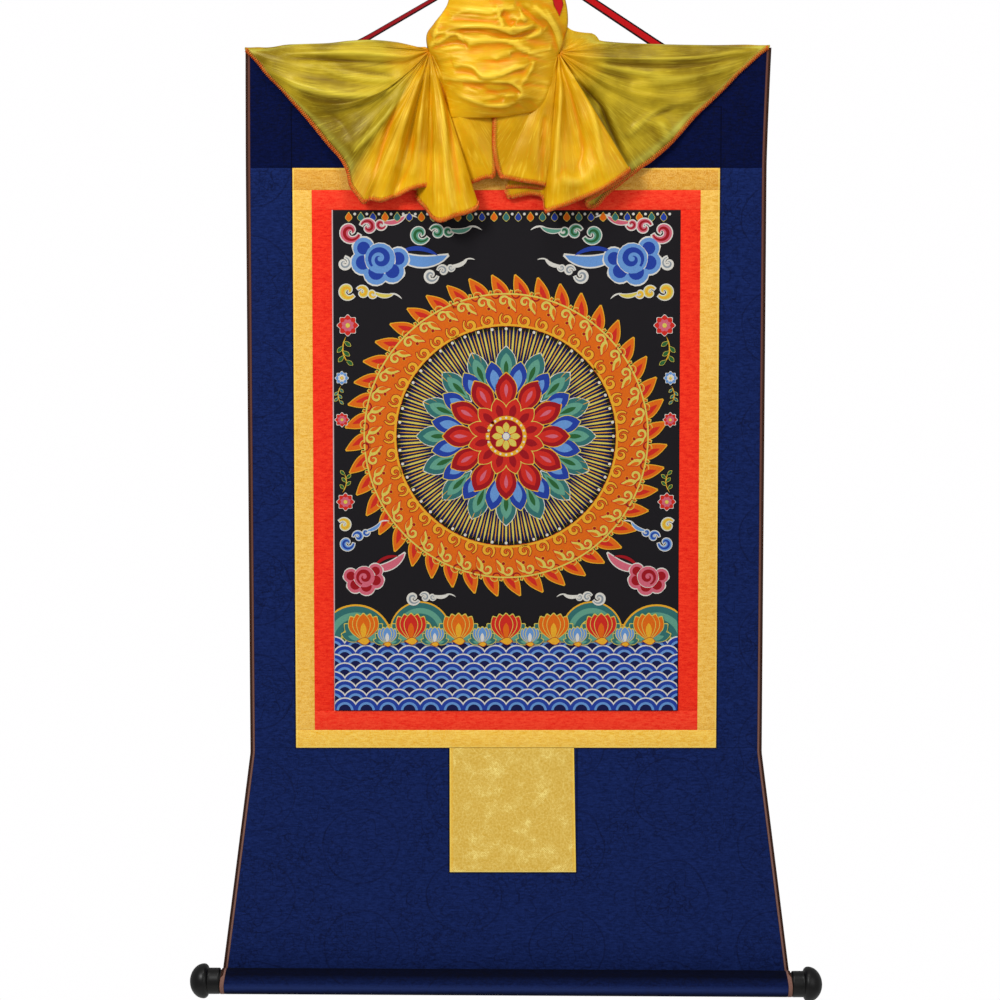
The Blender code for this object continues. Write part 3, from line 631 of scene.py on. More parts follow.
def silk_finish():
    """Yellow satin: a painted highlight on its crests and painted shade, more orange, in its folds, and
    olive where one layer lies on navy. Fine streaks run along the gathers: noise that is stretched that
    way, which paints gloss and shade into the colour and also bumps the surface."""
    made, thread = new_finish("yellow satin")
    across, along = cloth_place(thread)
    drawn = thread.node("CombineXYZ", None, {0: across / 3.4, 1: along / 46.0, 2: 0.0})
    streak = thread.noise(1.0, 3.0, drawn, Roughness=0.6, Distortion=0.3)
    sheer, stands, turned = (thread.painted(name) for name in ("single_layer", "fold_light", "turned_in"))
    slub = thread.noise(38.0, 4.0)
    patch = ((thread.noise(10.0) - 0.5) * 3.4 + (slub - 0.5) * 1.6 + 0.5).held()
    level = thread.blend(sheer, thread.blend(patch, dye(200, 146, 2), dye(232, 178, 14)),
                         thread.blend(patch, dye(126, 102, 6), dye(192, 164, 32)))
    # Painted highlight on the crests, and painted shade, deep orange, in the folds.
    crest_highlight = thread.blend(sheer, dye(248, 208, 62), dye(218, 196, 60))
    fold_shade = thread.blend(sheer, dye(230, 124, 0), dye(98, 66, 0))
    high, low = (stands * 2.6 - 1.5).held() * 0.75, (1.0 - stands * 2.4).held() * 0.7
    # Streaks of painted gloss and painted shade.
    pale, deep = ((streak - 0.54) * 6.0).held(), ((0.46 - streak) * 6.0).held()
    colour = thread.blend((high + pale * 0.5).held(), level, crest_highlight)
    colour = thread.blend((low * (sheer * 0.5 + 1.0) + deep * 0.32).held(), colour, fold_shade)
    colour = thread.blend(turned * (patch * 0.7 + 0.3) * 0.7, colour, dye(204, 206, 92))
    return dress(made, Base_Color=colour, Roughness=0.3 + slub * 0.1, Specular_IOR_Level=0.36,
                 Specular_Tint=(1.0, 0.88, 0.4, 1.0),
                 Normal=relief(thread, streak + across.wave(0.9) * 0.06, 0.5, 0.5))


def weld(made, outwards=True):
    """Joins points that lie together, and turns the faces outwards."""
    work = bmesh.new()
    work.from_mesh(made.data)
    bmesh.ops.remove_doubles(work, verts=work.verts, dist=WELD)
    if outwards:
        bmesh.ops.recalc_face_normals(work, faces=work.faces)
    work.to_mesh(made.data)
    work.free()
    made.data.shade_smooth()
    return made


def make_veil():
    """Both fans, the bunch and the fans' sewn strips as one mesh, thickened to a closed cloth. The
    points keep how far their part is a single layer, how far it stands out, which sets its painted
    highlights and painted fold shade, and how far it is turned in."""
    left = fan(LEFT_HUB, LEFT_HEM, LEFT_WING_END, 11)
    right = fan(RIGHT_HUB, RIGHT_HEM, RIGHT_WING_END, 23)
    middle, middle_stands = bunch()
    parts = [left[:4], right[:4], (middle, 0.0, middle_stands, 0.0)]
    parts += [(sewn_strip(part[0], part[4], rows), 0.7, 0.5, 0.0)
              for part, rows in ((left, LEFT_SEWN), (right, RIGHT_SEWN))]
    points, faces, places, start = [], [], [], 0
    for grid, *_ in parts:
        rows, columns = grid.shape[:2]
        run, rise = (np.concatenate([[0], np.linalg.norm(np.diff(grid, axis=k), axis=-1)
                                     .max(axis=1 - k).cumsum()]) for k in (1, 0))
        run, rise = run[None, :], rise[:, None]
        gathered = (rise, run) if grid is middle else (run, rise)
        points.append(grid.reshape(-1, 3))
        places.append(np.stack(np.broadcast_arrays(*gathered), axis=-1).reshape(-1, 2))
        faces.append(grid_faces(rows, columns, start))
        start += rows * columns
    made = add_piece("veil_silk", np.concatenate(points), np.concatenate(faces), silk_finish(),
                     np.concatenate(places))
    for k, name in enumerate(("single_layer", "fold_light", "turned_in")):
        values = np.concatenate([np.broadcast_to(part[k + 1], part[0].shape[:2]).ravel() for part in parts])
        made.data.attributes.new(name, "FLOAT", "POINT").data.foreach_set(
            "value", values.astype(np.float32))
    weld(made, outwards=False)
    thick = made.modifiers.new("cloth", "SOLIDIFY")
    thick.thickness, thick.offset = SILK_THICK * MM, 0.0
    return made, left[0], right[0], middle


veil, left_fan, right_fan, bunched = make_veil()
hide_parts("veil")


# ---- Hem stitching ----------------------------------------------------------------------
# Orange sewing thread that binds the silk's raw edge. It is sewn over and over, in long slanting
# stitches, along the hems and both sides of the slit.

STITCH_PITCH = 2.6
STITCH_REACH = 4.3                  # how far each stitch comes in from the edge
THREAD_RADIUS = 0.95


def over_and_over(grid, first):
    """The thread's route: in on the front, round the hem, in on the back and round again."""
    gone = gone_along(grid[-1, first:])
    steps = np.linspace(0, gone[-1], 4 * int(gone[-1] / STITCH_PITCH) + 1)
    at, inner = (np.stack([np.interp(steps, gone, grid[row, first:, k]) for k in range(3)], axis=1)
                 for row in (-1, -3))
    run = unit(np.gradient(at, axis=0))
    into = unit((inner - at) - run * ((inner - at) * run).sum(axis=1)[:, None])
    face = unit(np.cross(run, into))
    phase = np.arange(len(steps)) % 4
    reach = np.array([STITCH_REACH, -THREAD_RADIUS, STITCH_REACH, -THREAD_RADIUS])[phase]
    rise = np.array([1.0, 0.0, -1.0, 0.0])[phase] * (SILK_THICK / 2 + THREAD_RADIUS * 0.6)
    return at + into * reach[:, None] + face * rise[:, None], face


def thread_tube(path, face, radius, sides=5):
    """A tube of few sides along a path, framed by the cloth's face direction."""
    run = unit(np.gradient(path, axis=0))
    across = unit(np.cross(run, face))
    turn = np.linspace(0, 2 * math.pi, sides, endpoint=False)[:, None]
    return path[:, None] + radius * (np.cos(turn) * across[:, None]
                                     + np.sin(turn) * np.cross(across, run)[:, None])


def stitch_finish():
    """Orange sewing thread, lighter in fine flecks."""
    made, thread = new_finish("orange thread")
    fleck = thread.noise(420.0)
    colour = thread.blend(((fleck - 0.5) * 3.0 + 0.45).held(), dye(246, 70, 4), dye(255, 158, 70))
    return dress(made, Base_Color=colour, Roughness=0.55, Specular_IOR_Level=0.3,
                 Normal=relief(thread, fleck, 0.2, 0.6))


def make_stitches():
    """Each fan's thread as a tube, from where its sewn top edge ends, both in one mesh."""
    points, faces, start = [], [], 0
    for grid, hem, sewn in ((left_fan, LEFT_HEM, LEFT_SEWN), (right_fan, RIGHT_HEM, RIGHT_SEWN)):
        first = int(np.searchsorted(even_rows(hem, HEM_STEP)[1], sewn[1]))
        tube = thread_tube(*over_and_over(grid, first), THREAD_RADIUS)
        points.append(tube.reshape(-1, 3))
        faces.append(grid_faces(*tube.shape[:2], start, ring=True))
        start += len(points[-1])
    made = add_piece("hem_stitches", np.concatenate(points), np.concatenate(faces), stitch_finish())
    return made


stitches = make_stitches()


# ---- Ribbon -----------------------------------------------------------------------------
# The end of a red satin ribbon, woven with a firm edge and cut to a point. It comes out of the
# bunch at its right side and lies on its folds.

RIBBON_WIDTH, RIBBON_THICK, RIBBON_OFF = 12.0, 0.6, 1.1
RIBBON_ACROSS = 0.86, 0.935         # where it lies across the bunch, at its top and from half way
RIBBON_FROM, RIBBON_TO = 3.2, 5.72   # levels of the bunch that it runs over


def ribbon_finish():
    """Red satin with fine ribs and a stitched edge."""
    made, thread = new_finish("red ribbon")
    across, along = cloth_place(thread)
    rib = along.wave(0.9)
    edge = ((abs(across) - 4.8) / 0.6).held()
    colour = thread.blend(thread.noise(70.0), dye(176, 10, 20), dye(218, 22, 26))
    return dress(made, Base_Color=thread.blend(edge * 0.7, colour, dye(120, 4, 12)),
                 Roughness=0.4 + rib * 0.1, Specular_IOR_Level=0.3, Specular_Tint=(1.0, 0.5, 0.4, 1.0),
                 Normal=relief(thread, rib, 0.1, 0.4))


def make_ribbon():
    """Two faces that follow the bunch's surface a little in front of it, level by level, with a
    width that closes to a point over the last quarter."""
    t = np.linspace(0, 1, 40)
    rows = (RIBBON_FROM + (RIBBON_TO - RIBBON_FROM) * t) / (len(BUNCH) - 1) * (BUNCH_ROWS - 1)
    below = np.floor(rows).astype(int)
    line = bunched[below] + (bunched[below + 1] - bunched[below]) * (rows - below)[:, None, None]
    half = RIBBON_WIDTH / 2 * np.clip((1 - t) / 0.25, 0.02, 1)[:, None]
    share = np.linspace(-1, 1, 9)
    middle = [np.interp(a, np.linspace(0, 1, line.shape[1]), row)
              for a, row in zip(np.interp(t, (0, 0.5), RIBBON_ACROSS), line[..., 0])]
    x = np.array(middle)[:, None] + half * share
    y, z = (np.array([np.interp(a, row[:, 0], row[:, k]) for a, row in zip(x, line)]) for k in (1, 2))
    front, back = (np.stack([x, y - RIBBON_OFF + off, z], axis=-1)
                   for off in (-RIBBON_THICK / 2, RIBBON_THICK / 2))
    ring = np.concatenate([front, back[:, ::-1]], axis=1)
    gone = gone_along(front[:, 4])
    round_it = half * np.concatenate([share, share[::-1]])
    places = np.stack(np.broadcast_arrays(round_it, gone[:, None]), axis=-1)
    rows, columns = ring.shape[:2]
    caps = [[start + k, start + k + 1, start + columns - 2 - k, start + columns - 1 - k]
            for start in (0, (rows - 1) * columns) for k in range(columns // 2 - 1)]
    made = add_piece("ribbon_satin", ring, np.concatenate([grid_faces(rows, columns, ring=True), caps]),
                     ribbon_finish(), places)
    weld(made)
    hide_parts("ribbon")


make_ribbon()


# ---- Brocade mount ----------------------------------------------------------------------
# Strips of woven brocade sewn edge to edge: navy round a gold and a red border. The top strip
# is turned over the stave as a sleeve, and the flared foot is wrapped round the roller.

PANEL_WIDTH, FOOT_WIDTH = 670.0, 750.0
BINDING, SEAM, CLOTH = 6.0, 0.3, 1.8
HEAD_SPREAD = (0.8, 5.0)            # how far the head's left and right corners lie to the right
FLARE_STARTS = 0.02                 # share of the foot's height over which it doesn't flare yet
STAVE_THICKNESS, SLEEVE_DEPTH = 6.0, 36.0
GOLD_TOP_Z, GOLD_FOOT_Z = -272.0, -1026.0
ROLLER_RADIUS, ROLLER_GAP = 14.8, 0.4
ROLL_CENTRE_Z = -1334.5
ROLL_CENTRE_Y = -(ROLLER_RADIUS + ROLLER_GAP + 1.0)
ROLL_LEAN, LEAN_FROM_Z = 0.0055, -1200.0
CALM_TOP_Z, CALM_FOOT_Z = -150.0, -1290.0    # the cloth has no waves over and under these
PICTURE_HOLDS, HOLDS_FROM = 0.92, 30.0       # how much it stills them, and how far in from its edge
EDGE_ROUND = 1.1
CREASE, PAINTED_SHEEN, UNDERSIDE_SHADE = 33.0, 43.5, 55.0    # how far from its end the roll has painted shade in its crease, a painted sheen, and painted shade on its underside
ROLL_SHADE = 76.0                       # and over what length painted shade makes it a little darker in all
OVERLAP = 0.25                      # how far neighbouring strips run into each other's rounded edge
NAVY_TONES, NAVY_FIGURE = (dye(8, 22, 66), dye(24, 42, 100)), dye(4, 10, 44)
# The head's navy with painted shade: darker tones of the same brocade.
SHADED_HEAD_TONES, SHADED_HEAD_FIGURE = (dye(0, 5, 36), dye(5, 17, 66)), dye(0, 2, 24)
GOLD_TONES, GOLD_FIGURE = (dye(224, 162, 44), dye(252, 204, 100)), dye(255, 222, 136)
# The top gold strip with painted shade, and the foot gold strip with painted light.
SHADED_GOLD_TONES = dye(206, 136, 30), dye(236, 180, 78)
LIT_GOLD_TONES = dye(234, 172, 40), dye(255, 214, 100)
GOLD_RIM = dye(255, 224, 104)
RED_TONES, RED_FIGURE = (dye(222, 18, 8), dye(255, 62, 34)), dye(255, 84, 56)
# The red top and foot strips with painted light.
LIT_RED_TONES = dye(234, 30, 16), dye(255, 78, 48)


def box_of(node):
    """The low and the high corner of a CAD node, in millimetres."""
    return [np.array(corner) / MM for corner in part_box(node)]


PICTURE_LOW, PICTURE_HIGH = box_of("painting")


def flare_x(z, side):
    """The mount's outer edge at a height: a little askew at the head, straight, then flaring."""
    flare = np.clip((GOLD_FOOT_Z - z) / (GOLD_FOOT_Z - ROLL_CENTRE_Z), 0.0, 1.0)
    flare = np.maximum(flare - FLARE_STARTS, 0.0) / (1 - FLARE_STARTS)
    spread = HEAD_SPREAD[side > 0] * np.clip((z - GOLD_TOP_Z) / (TOP_Z - GOLD_TOP_Z), 0.0, 1.0) ** 1.3
    return CENTRE_X + side * (PANEL_WIDTH + (FOOT_WIDTH - PANEL_WIDTH) * flare) / 2 + spread


def lean(x, z):
    """How far the foot drops at a place, because the roller hangs out of level."""
    share = np.clip((LEAN_FROM_Z - z) / (LEAN_FROM_Z - ROLL_CENTRE_Z), 0.0, 1.0)
    return -ROLL_LEAN * (x - CENTRE_X) * share


def ripple(x, z):
    """How far the hanging cloth stands off its plane: slow, shallow waves that the stiff woven
    picture holds almost flat."""
    within = np.minimum(np.minimum(x - PICTURE_LOW[0], PICTURE_HIGH[0] - x),
                        np.minimum(z - PICTURE_LOW[2], PICTURE_HIGH[2] - z))
    calm = 1 - PICTURE_HOLDS * np.clip(within / HOLDS_FROM, 0, 1)
    return calm * (0.3 * smooth_noise(x / 150.0 + 9, z / 210.0 + 3, 7)
                   + 0.1 * smooth_noise(x / 45.0, z / 38.0, 8))


def cloth_lines(length, step):
    """Distances along a side, close together where the edge is rounded."""
    rim = EDGE_ROUND * np.array([0.0, 0.12, 0.4, 1.0])
    inner = np.linspace(rim[-1], length - rim[-1], max(2, int(length / step)))
    return np.concatenate([rim[:-1], inner, length - rim[-2::-1]])


def rounding(distance, length):
    """How thick cloth is near its two edges: a quarter round that rises from 0 to 1."""
    nearest = np.minimum(distance, length - distance)
    return np.sqrt(np.clip(1 - (1 - np.clip(nearest / EDGE_ROUND, 0, 1)) ** 2, 0, 1))


def slab(name, middle, front, down, across, places, finish, thick=CLOTH):
    """Closed cloth: a middle surface pushed both ways along its front direction, less at the rim."""
    full = rounding(down, down[-1])[:, None] * rounding(across, across[-1])[None, :]
    push = front * (thick / 2 * full)[..., None]
    points = np.concatenate([(middle + push).reshape(-1, 3), (middle - push).reshape(-1, 3)])
    faces = grid_faces(*full.shape)
    faces = np.concatenate([faces, faces[:, ::-1] + full.size])
    return weld(add_piece(name, points, faces, finish, np.concatenate([places.reshape(-1, 2)] * 2)))


def hung(made, node, wide, tall, area=None):
    """Hides the CAD node that a cloth stands for, and returns the cloth."""
    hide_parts(node)
    wide * MM
    tall * MM
    return made


def flat_cloth(name, node, finish, step=9.0, thick=CLOTH, lap=OVERLAP, taper=0.0):
    """A flat strip the size of its CAD node and a lap at its sides and foot, with rounded edges and
    the mount's shallow waves. With a taper its right side leans in towards the top."""
    low, high = box_of(node)
    wide, tall = high[0] - low[0] + 2 * lap, high[2] - low[2] + lap + OVERLAP
    across, down = cloth_lines(wide, step), cloth_lines(tall, step)
    x = low[0] - lap + across / wide * (wide - taper * (1 - down[:, None] / tall))
    z = high[2] + OVERLAP - down[:, None] + 0 * x
    middle = np.stack([x, (low[1] + high[1]) / 2 + ripple(x, z), z], axis=-1)
    made = slab(name, middle, np.array([0.0, -1.0, 0.0]), down, across, np.stack([x, z], axis=-1),
                finish, thick)
    return hung(made, node, wide, tall)


def wrapped_cloth(name, line, left, right, finish, step=9.0):
    """Cloth that follows a side-view line of y, z between two edges: its front is on the line's right."""
    gone = gone_along(line)
    along = cloth_lines(gone[-1], 4.0)
    y, z = (np.interp(along, gone, line[:, k])[:, None] for k in range(2))
    run = unit(np.gradient(np.concatenate([y, z], axis=1), along, axis=0))
    wide = right(z) - left(z)
    across = cloth_lines(float(wide.max()), step)
    x = left(z) + wide * across / across[-1]
    calm = np.clip((z - CALM_FOOT_Z) / 60.0, 0, 1) * np.clip((CALM_TOP_Z - z) / 40.0, 0, 1)
    middle = np.stack([x, y + ripple(x, z) * calm, z + lean(x, z)], axis=-1)
    front = np.stack([0 * along, run[:, 1], -run[:, 0]], axis=-1)[:, None]
    places = np.stack([x, z[0] - along[:, None] + 0 * x], axis=-1)
    return slab(name, middle, front, along, across, places, finish), float(gone[-1]), wide


def arc(centre, radius, start, end, steps):
    """Points of an arc in side view, in degrees from the back, +Y, up over the top."""
    turn = np.radians(np.linspace(start, end, steps))
    return np.stack([centre[0] + radius * np.cos(turn), centre[1] + radius * np.sin(turn)], axis=1)


def sleeve_line():
    """Down the back of the sleeve, over the stave and down the front to the seam, read from there."""
    half = STAVE_THICKNESS / 2 + SEAM + 1.0
    centre = (half, TOP_Z - 1.0 - half)
    back = [[2 * half, centre[1] - SLEEVE_DEPTH + half], [2 * half, centre[1] - 10.0]]
    front = [[0.0, z] for z in np.linspace(centre[1] - 8.0, GOLD_TOP_Z - OVERLAP, 30)]
    return np.concatenate([back, arc(centre, half, 0, 180, 25), front])


def roll_line(start):
    """The foot from its seam down behind the roller, under it and up its front."""
    down = [[0.0, z] for z in np.linspace(start, ROLL_CENTRE_Z + 12, 9)]
    return np.concatenate([down, arc((ROLL_CENTRE_Y, ROLL_CENTRE_Z), -ROLL_CENTRE_Y, 0, -318, 90)])


def figured(thread, across, along, tile, line):
    """A damask figure of 0 to 1 in lines of one width: in each tile a roundel round a scalloped
    flower, lobed clouds at the corners and curls between, half a tile lower in every other column."""
    def polar(x, y):
        return thread.math("SQRT", x * x + y * y), thread.math("ARCTAN2", y, x)

    drop = thread.math("FLOORED_MODULO", thread.math("FLOOR", across / tile), 2.0) * (tile / 2)
    x, y = ((value.part(tile) - 0.5) * tile for value in (across, along + drop))
    reach, angle = polar(x, y)
    off, turn = polar(abs(x) - tile / 2, abs(y) - tile / 2)
    roundel = reach - tile * 0.36
    petals = reach - tile * 0.24 - (angle * 7.0).sine() * tile * 0.05
    heart = reach - tile * 0.12 - (angle * 5.0 + reach * (9.0 / tile)).sine() * tile * 0.04
    cloud = off - tile * 0.2 - (turn * 9.0).sine() * tile * 0.045
    curl = off - tile * 0.1 - turn * tile * 0.02
    return sum(each.stroke(0.0, line) for each in (roundel, petals, heart, cloud, curl)).held()


def brocade(name, tones, figure, tile, line, pitch, shine, show=1.0, wander=3.0, curls=0.0,
            rolled_at=None, sewn=(), rim=None):
    """Brocade: a ground of two tones in fine weft ribs, warp grain and slubs, and a figure in it that
    is woven in another tone and a little smoother, with patches of fine curls among it. Where it ends
    in a roll it has painted shade in the crease over the roll and along the roll's underside, a painted
    sheen between, and a little painted shade over the whole roll. Round each rectangle that is sewn on
    it there is painted shade in the groove, or a folded rim."""
    made, thread = new_finish(name)
    x, z = cloth_place(thread)
    drift = thread.noise(17.0)
    across, along = x + (drift - 0.5) * wander, z + (drift - 0.5) * wander
    weft, warp = along.wave(pitch), across.wave(pitch * 0.8)
    grain, fleck = thread.noise(330.0, place=thread.place((0.4, 1.0, 1.6))), thread.noise(620.0)
    woven = figured(thread, across, along, tile, line)
    if curls:
        vine = thread.noise(105.0, 1.0).stroke(0.5, 0.04)
        patch = ((thread.noise(13.0) - 0.42) * 6.0).held()
        woven = (woven * 0.7 + vine * patch * curls).held()
    light = ((grain - 0.5) * 1.7 + (fleck - 0.5) * 1.1 + (weft - 0.5) * 0.18 + 0.5).held()
    patchy = (drift * 2.4 - 0.6).held() * 0.6 + 0.4
    colour = thread.blend(woven * patchy * show, thread.blend(light, *tones), figure)
    if rolled_at is not None:
        # Painted light on the roll: shade in the crease over it, a sheen, shade on its underside, and a
        # little shade over all of it.
        from_end = z - rolled_at
        shade = from_end.below(CREASE, 13.0) * 0.85 + from_end.stroke(UNDERSIDE_SHADE, 9.0) * 0.9
        colour = thread.blend(from_end.stroke(PAINTED_SHEEN, 6.5) * 0.75, colour, dye(44, 62, 122))
        colour = thread.blend(from_end.below(ROLL_SHADE, 4.0) * 0.3, colour, dye(2, 6, 34))
        colour = thread.blend(shade.held(), colour, dye(0, 0, 8))
    # Painted shade in the groove round each sewn rectangle, or a lighter folded rim.
    edge = rim or dye(0, 0, 12)
    at, wide, strength = (-1.2, 1.2, 0.7) if rim else (1.0, 1.3, 0.85)
    for low, high in sewn:
        outside = thread.math("MAXIMUM", *(abs(value - (low[k] + high[k]) / 2) - (high[k] - low[k]) / 2
                                           for k, value in enumerate((x, z))))
        colour = thread.blend(outside.stroke(at, wide) * strength, colour, edge)
    height = woven * 0.6 + weft * 0.25 + warp * 0.15 + grain * 0.3
    dull = (shine + 0.2 - woven * 0.12 + grain * 0.1).held(0.2, 1.0)
    return dress(made, Base_Color=colour, Roughness=dull, Specular_IOR_Level=0.1,
                 Normal=relief(thread, height, 0.2, 0.6))


gold_edge = ([box_of("gold_left")[0][0], box_of("gold_bottom")[0][2]],
             [box_of("gold_right")[1][0], box_of("gold_top")[1][2]])
door_edge = [corner[[0, 2]] for corner in box_of("door")]
inset = BINDING + SEAM - OVERLAP
cut = [lambda z, s=side: flare_x(z, s) - s * inset for side in (-1, 1)]
foot_line = roll_line(GOLD_FOOT_Z + OVERLAP)
foot_end = foot_line[0, 1] - gone_along(foot_line)[-1]
navy_look = dict(tile=136.0, line=1.5, pitch=1.5, shine=0.7, wander=14.0, curls=0.85)
gold_look = dict(figure=GOLD_FIGURE, tile=19.0, line=0.7, pitch=1.2, shine=0.5, show=0.4, sewn=[gold_edge],
                 rim=GOLD_RIM)
red_look = dict(figure=RED_FIGURE, tile=13.0, line=0.6, pitch=1.1, shine=0.6, show=0.25)
navy = brocade("navy brocade", NAVY_TONES, NAVY_FIGURE, show=0.9, sewn=[gold_edge], **navy_look)
# The head's navy: the same brocade made darker with painted shade.
shaded_navy = brocade("shaded navy brocade", SHADED_HEAD_TONES, SHADED_HEAD_FIGURE, show=0.8, sewn=[gold_edge], **navy_look)
foot_navy = brocade("foot navy brocade", NAVY_TONES, NAVY_FIGURE, show=0.9, rolled_at=foot_end,
                    sewn=[gold_edge, door_edge], **navy_look)
gold = brocade("gold brocade", GOLD_TONES, **gold_look)
# The top gold strip is made darker with painted shade; the foot gold strip and the red top and foot strips
# are made lighter with painted light.
shaded_gold = brocade("shaded gold brocade", SHADED_GOLD_TONES, **gold_look)
lit_gold = brocade("lit gold brocade", LIT_GOLD_TONES, **gold_look)
red = brocade("red brocade", RED_TONES, **red_look)
lit_red = brocade("lit red brocade", LIT_RED_TONES, **red_look)
foot, foot_tall, foot_wide = wrapped_cloth("navy_foot", foot_line, *cut, foot_navy)
head, head_tall, head_wide = wrapped_cloth("navy_head_sleeve", sleeve_line(), *cut, shaded_navy)
for node, finish, slot in (
    ("navy_left", navy, "navy_brocade"), ("navy_right", navy, "navy_brocade"),
    ("gold_top", shaded_gold, "gold_brocade"), ("gold_bottom", lit_gold, "gold_brocade"),
    ("gold_left", gold, "gold_brocade"), ("gold_right", gold, "gold_brocade"),
    ("red_top", lit_red, "red_brocade"), ("red_bottom", lit_red, "red_brocade"),
    ("red_left", red, "red_brocade"), ("red_right", red, "red_brocade"),
):
    flat_cloth(f"{node}_strip", node, finish)


# ---- Side bindings ----------------------------------------------------------------------
# A narrow dark-brown braid over each raw side edge, with a copper piping on its inner side.
# It runs from the sleeve to the end of the roll.

CORD_AT, SEAM_AT = 3.1, 5.5         # from the outer edge to the piping and to its inner seam
CORD_WIDENS = 2.8                   # how much nearer the piping begins on the roll
DARKER_FROM, DARKER_OVER = -700.0, 500.0


def binding_finish():
    """Brown braid of slanting stitches beside a copper cord, which alone shows on the roll."""
    made, thread = new_finish("brown binding")
    across, along = cloth_place(thread)
    on_roll = along.below(ROLL_CENTRE_Z + ROLLER_RADIUS - 3, 3.0)
    cord = (abs(across) - CORD_AT + on_roll * CORD_WIDENS) / 0.5
    seam = (abs(across) - SEAM_AT) / 0.4
    slant, twist = (along + across * 0.8).wave(2.2), (along - across * 1.2).wave(1.6)
    braid = thread.blend(slant, dye(26, 12, 8), dye(70, 40, 28))
    lower = ((along - DARKER_FROM) / -DARKER_OVER).held()
    copper = thread.blend(lower, thread.blend(twist, dye(76, 38, 28), dye(122, 80, 66)),
                          thread.blend(twist, dye(104, 66, 54), dye(156, 118, 106)))
    colour = thread.blend(seam.held(), thread.blend(cord.held(), braid, copper), dye(46, 32, 60))
    return dress(made, Base_Color=colour, Roughness=0.7, Specular_IOR_Level=0.12,
                 Normal=relief(thread, slant * 0.6 + twist * 0.4, 0.3))


binding_cloth = binding_finish()
binding_line = np.concatenate([[[0.0, z] for z in np.linspace(TOP_Z - 1.0, GOLD_FOOT_Z + 4, 60)],
                               roll_line(GOLD_FOOT_Z)])
for node, side in (("binding_left", -1), ("binding_right", 1)):
    edges = [lambda z, s=side, off=off: flare_x(z, s) - s * off for off in (0.0, BINDING + OVERLAP)]
    made, *_ = wrapped_cloth(f"{node}_braid", binding_line, *edges[::-side], binding_cloth, step=1.0)
    corners = np.empty(len(made.data.loops), np.int32)
    made.data.loops.foreach_get("vertex_index", corners)
    place = np.empty(len(made.data.vertices) * 3, np.float32)
    made.data.vertices.foreach_get("co", place)
    place = place.reshape(-1, 3)[corners] / MM
    from_outside = np.abs(place[:, 0] - flare_x(place[:, 2], side))
    uv = np.stack([from_outside, place[:, 2]], axis=1) * MM
    made.data.uv_layers["cloth"].data.foreach_set("uv", uv.astype(np.float32).ravel())
    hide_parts(node)
# The bindings are trims of the cloths that they are sewn to; the head's and the foot's CAD nodes are hidden
# here.
hung(foot, "navy_bottom", float(foot_wide.max()), foot_tall,
     area=foot_tall * float(foot_wide.mean()) * MM * MM)
hung(head, "navy_top", float(head_wide.max()), head_tall)


# ---- Door -------------------------------------------------------------------------------
# A rectangle of pale gold brocade sewn on the mount under the picture. Its sides and foot are
# turned in, and it is a little narrower at the top.

DOOR_THICK = 0.95
DOOR_TAPER = 3.0                    # how much narrower it is at the seam, on its right
DOOR_TURNED = 5.0                   # the width of cloth turned in


def door_finish(low, high):
    """Pale gold damask of large roundels, with slanting threads in patches of its ground."""
    made, thread = new_finish("door brocade")
    across, along = cloth_place(thread)
    wandering = (thread.noise(30.0) - 0.5) * 7.0
    woven = figured(thread, across + wandering + 9.0, along + wandering + 22.0, 62.0, 0.9)
    patch = ((thread.noise(46.0) - 0.5) * 5.0).held()
    slant, fleck = (across + along).wave(2.9) * patch * 0.5, thread.noise(380.0, 3.0)
    vine = thread.noise(170.0, 1.0).stroke(0.5, 0.07) * patch * 0.7
    light = (woven * 0.2 + slant + vine + (fleck - 0.5) * 1.2 + 0.2).held()
    colour = thread.blend(light, dye(216, 172, 62), dye(255, 230, 134))
    from_right = high[0] - across - (along - low[2]) * (DOOR_TAPER / (high[2] - low[2]))
    from_side = thread.math("MINIMUM", across - low[0], from_right)
    side = ((DOOR_TURNED - from_side) / 0.8).held()
    colour = thread.blend(side * 0.4, colour, dye(240, 182, 50))
    colour = thread.blend(from_side.stroke(1.0, 1.4) * 0.7, colour, dye(255, 222, 96))
    colour = thread.blend((along - low[2]).stroke(0.6, 1.6) * 0.8, colour, dye(252, 226, 130))
    return dress(made, Base_Color=colour, Roughness=(0.62 - woven * 0.1).held(), Specular_IOR_Level=0.12,
                 Normal=relief(thread, woven * 0.5 + slant + side * 0.6, 0.3, 0.8))


door = flat_cloth("door_panel", "door", door_finish(*box_of("door")), step=5.0, thick=DOOR_THICK,
                  lap=0.0, taper=DOOR_TAPER)


# ---- Picture ----------------------------------------------------------------------------
# A silk picture woven on black: a lotus rosette in a ring of gold leaves, with clouds in the
# corners, sprays at the sides and a band of waves at the foot. Each motif is a low relief.

BLACK_SILK = dye(24, 22, 26)
WHITE, ORANGE, AMBER = dye(236, 232, 222), dye(240, 112, 14), dye(250, 184, 44)
CRIMSON, SCARLET, PINK = dye(168, 14, 26), dye(222, 44, 30), dye(224, 108, 128)
BLUE, SKY, INDIGO = dye(34, 66, 168), dye(110, 160, 224), dye(16, 22, 78)
TEAL, JADE, LEAF = dye(52, 118, 116), dye(104, 170, 146), dye(44, 104, 54)
STRAW, GREY = dye(232, 212, 92), dye(150, 160, 168)
RELIEF_STEP, RELIEF_SHIFT = 0.045, 0.003     # between layers, and between neighbours in one
SELVEDGE = 1.4                      # a pale edge that shows along the picture's left side
PICTURE_FRONT, SUNK = 0.9, 0.3      # the ground's face, and how deep a motif's foot lies under it
LOWEST = 16                         # layers under 0 that stay over the ground
MARGIN = 1.0                        # left free inside the picture's edge
TIP = 0.02                          # half the width that a stroke keeps at its tips
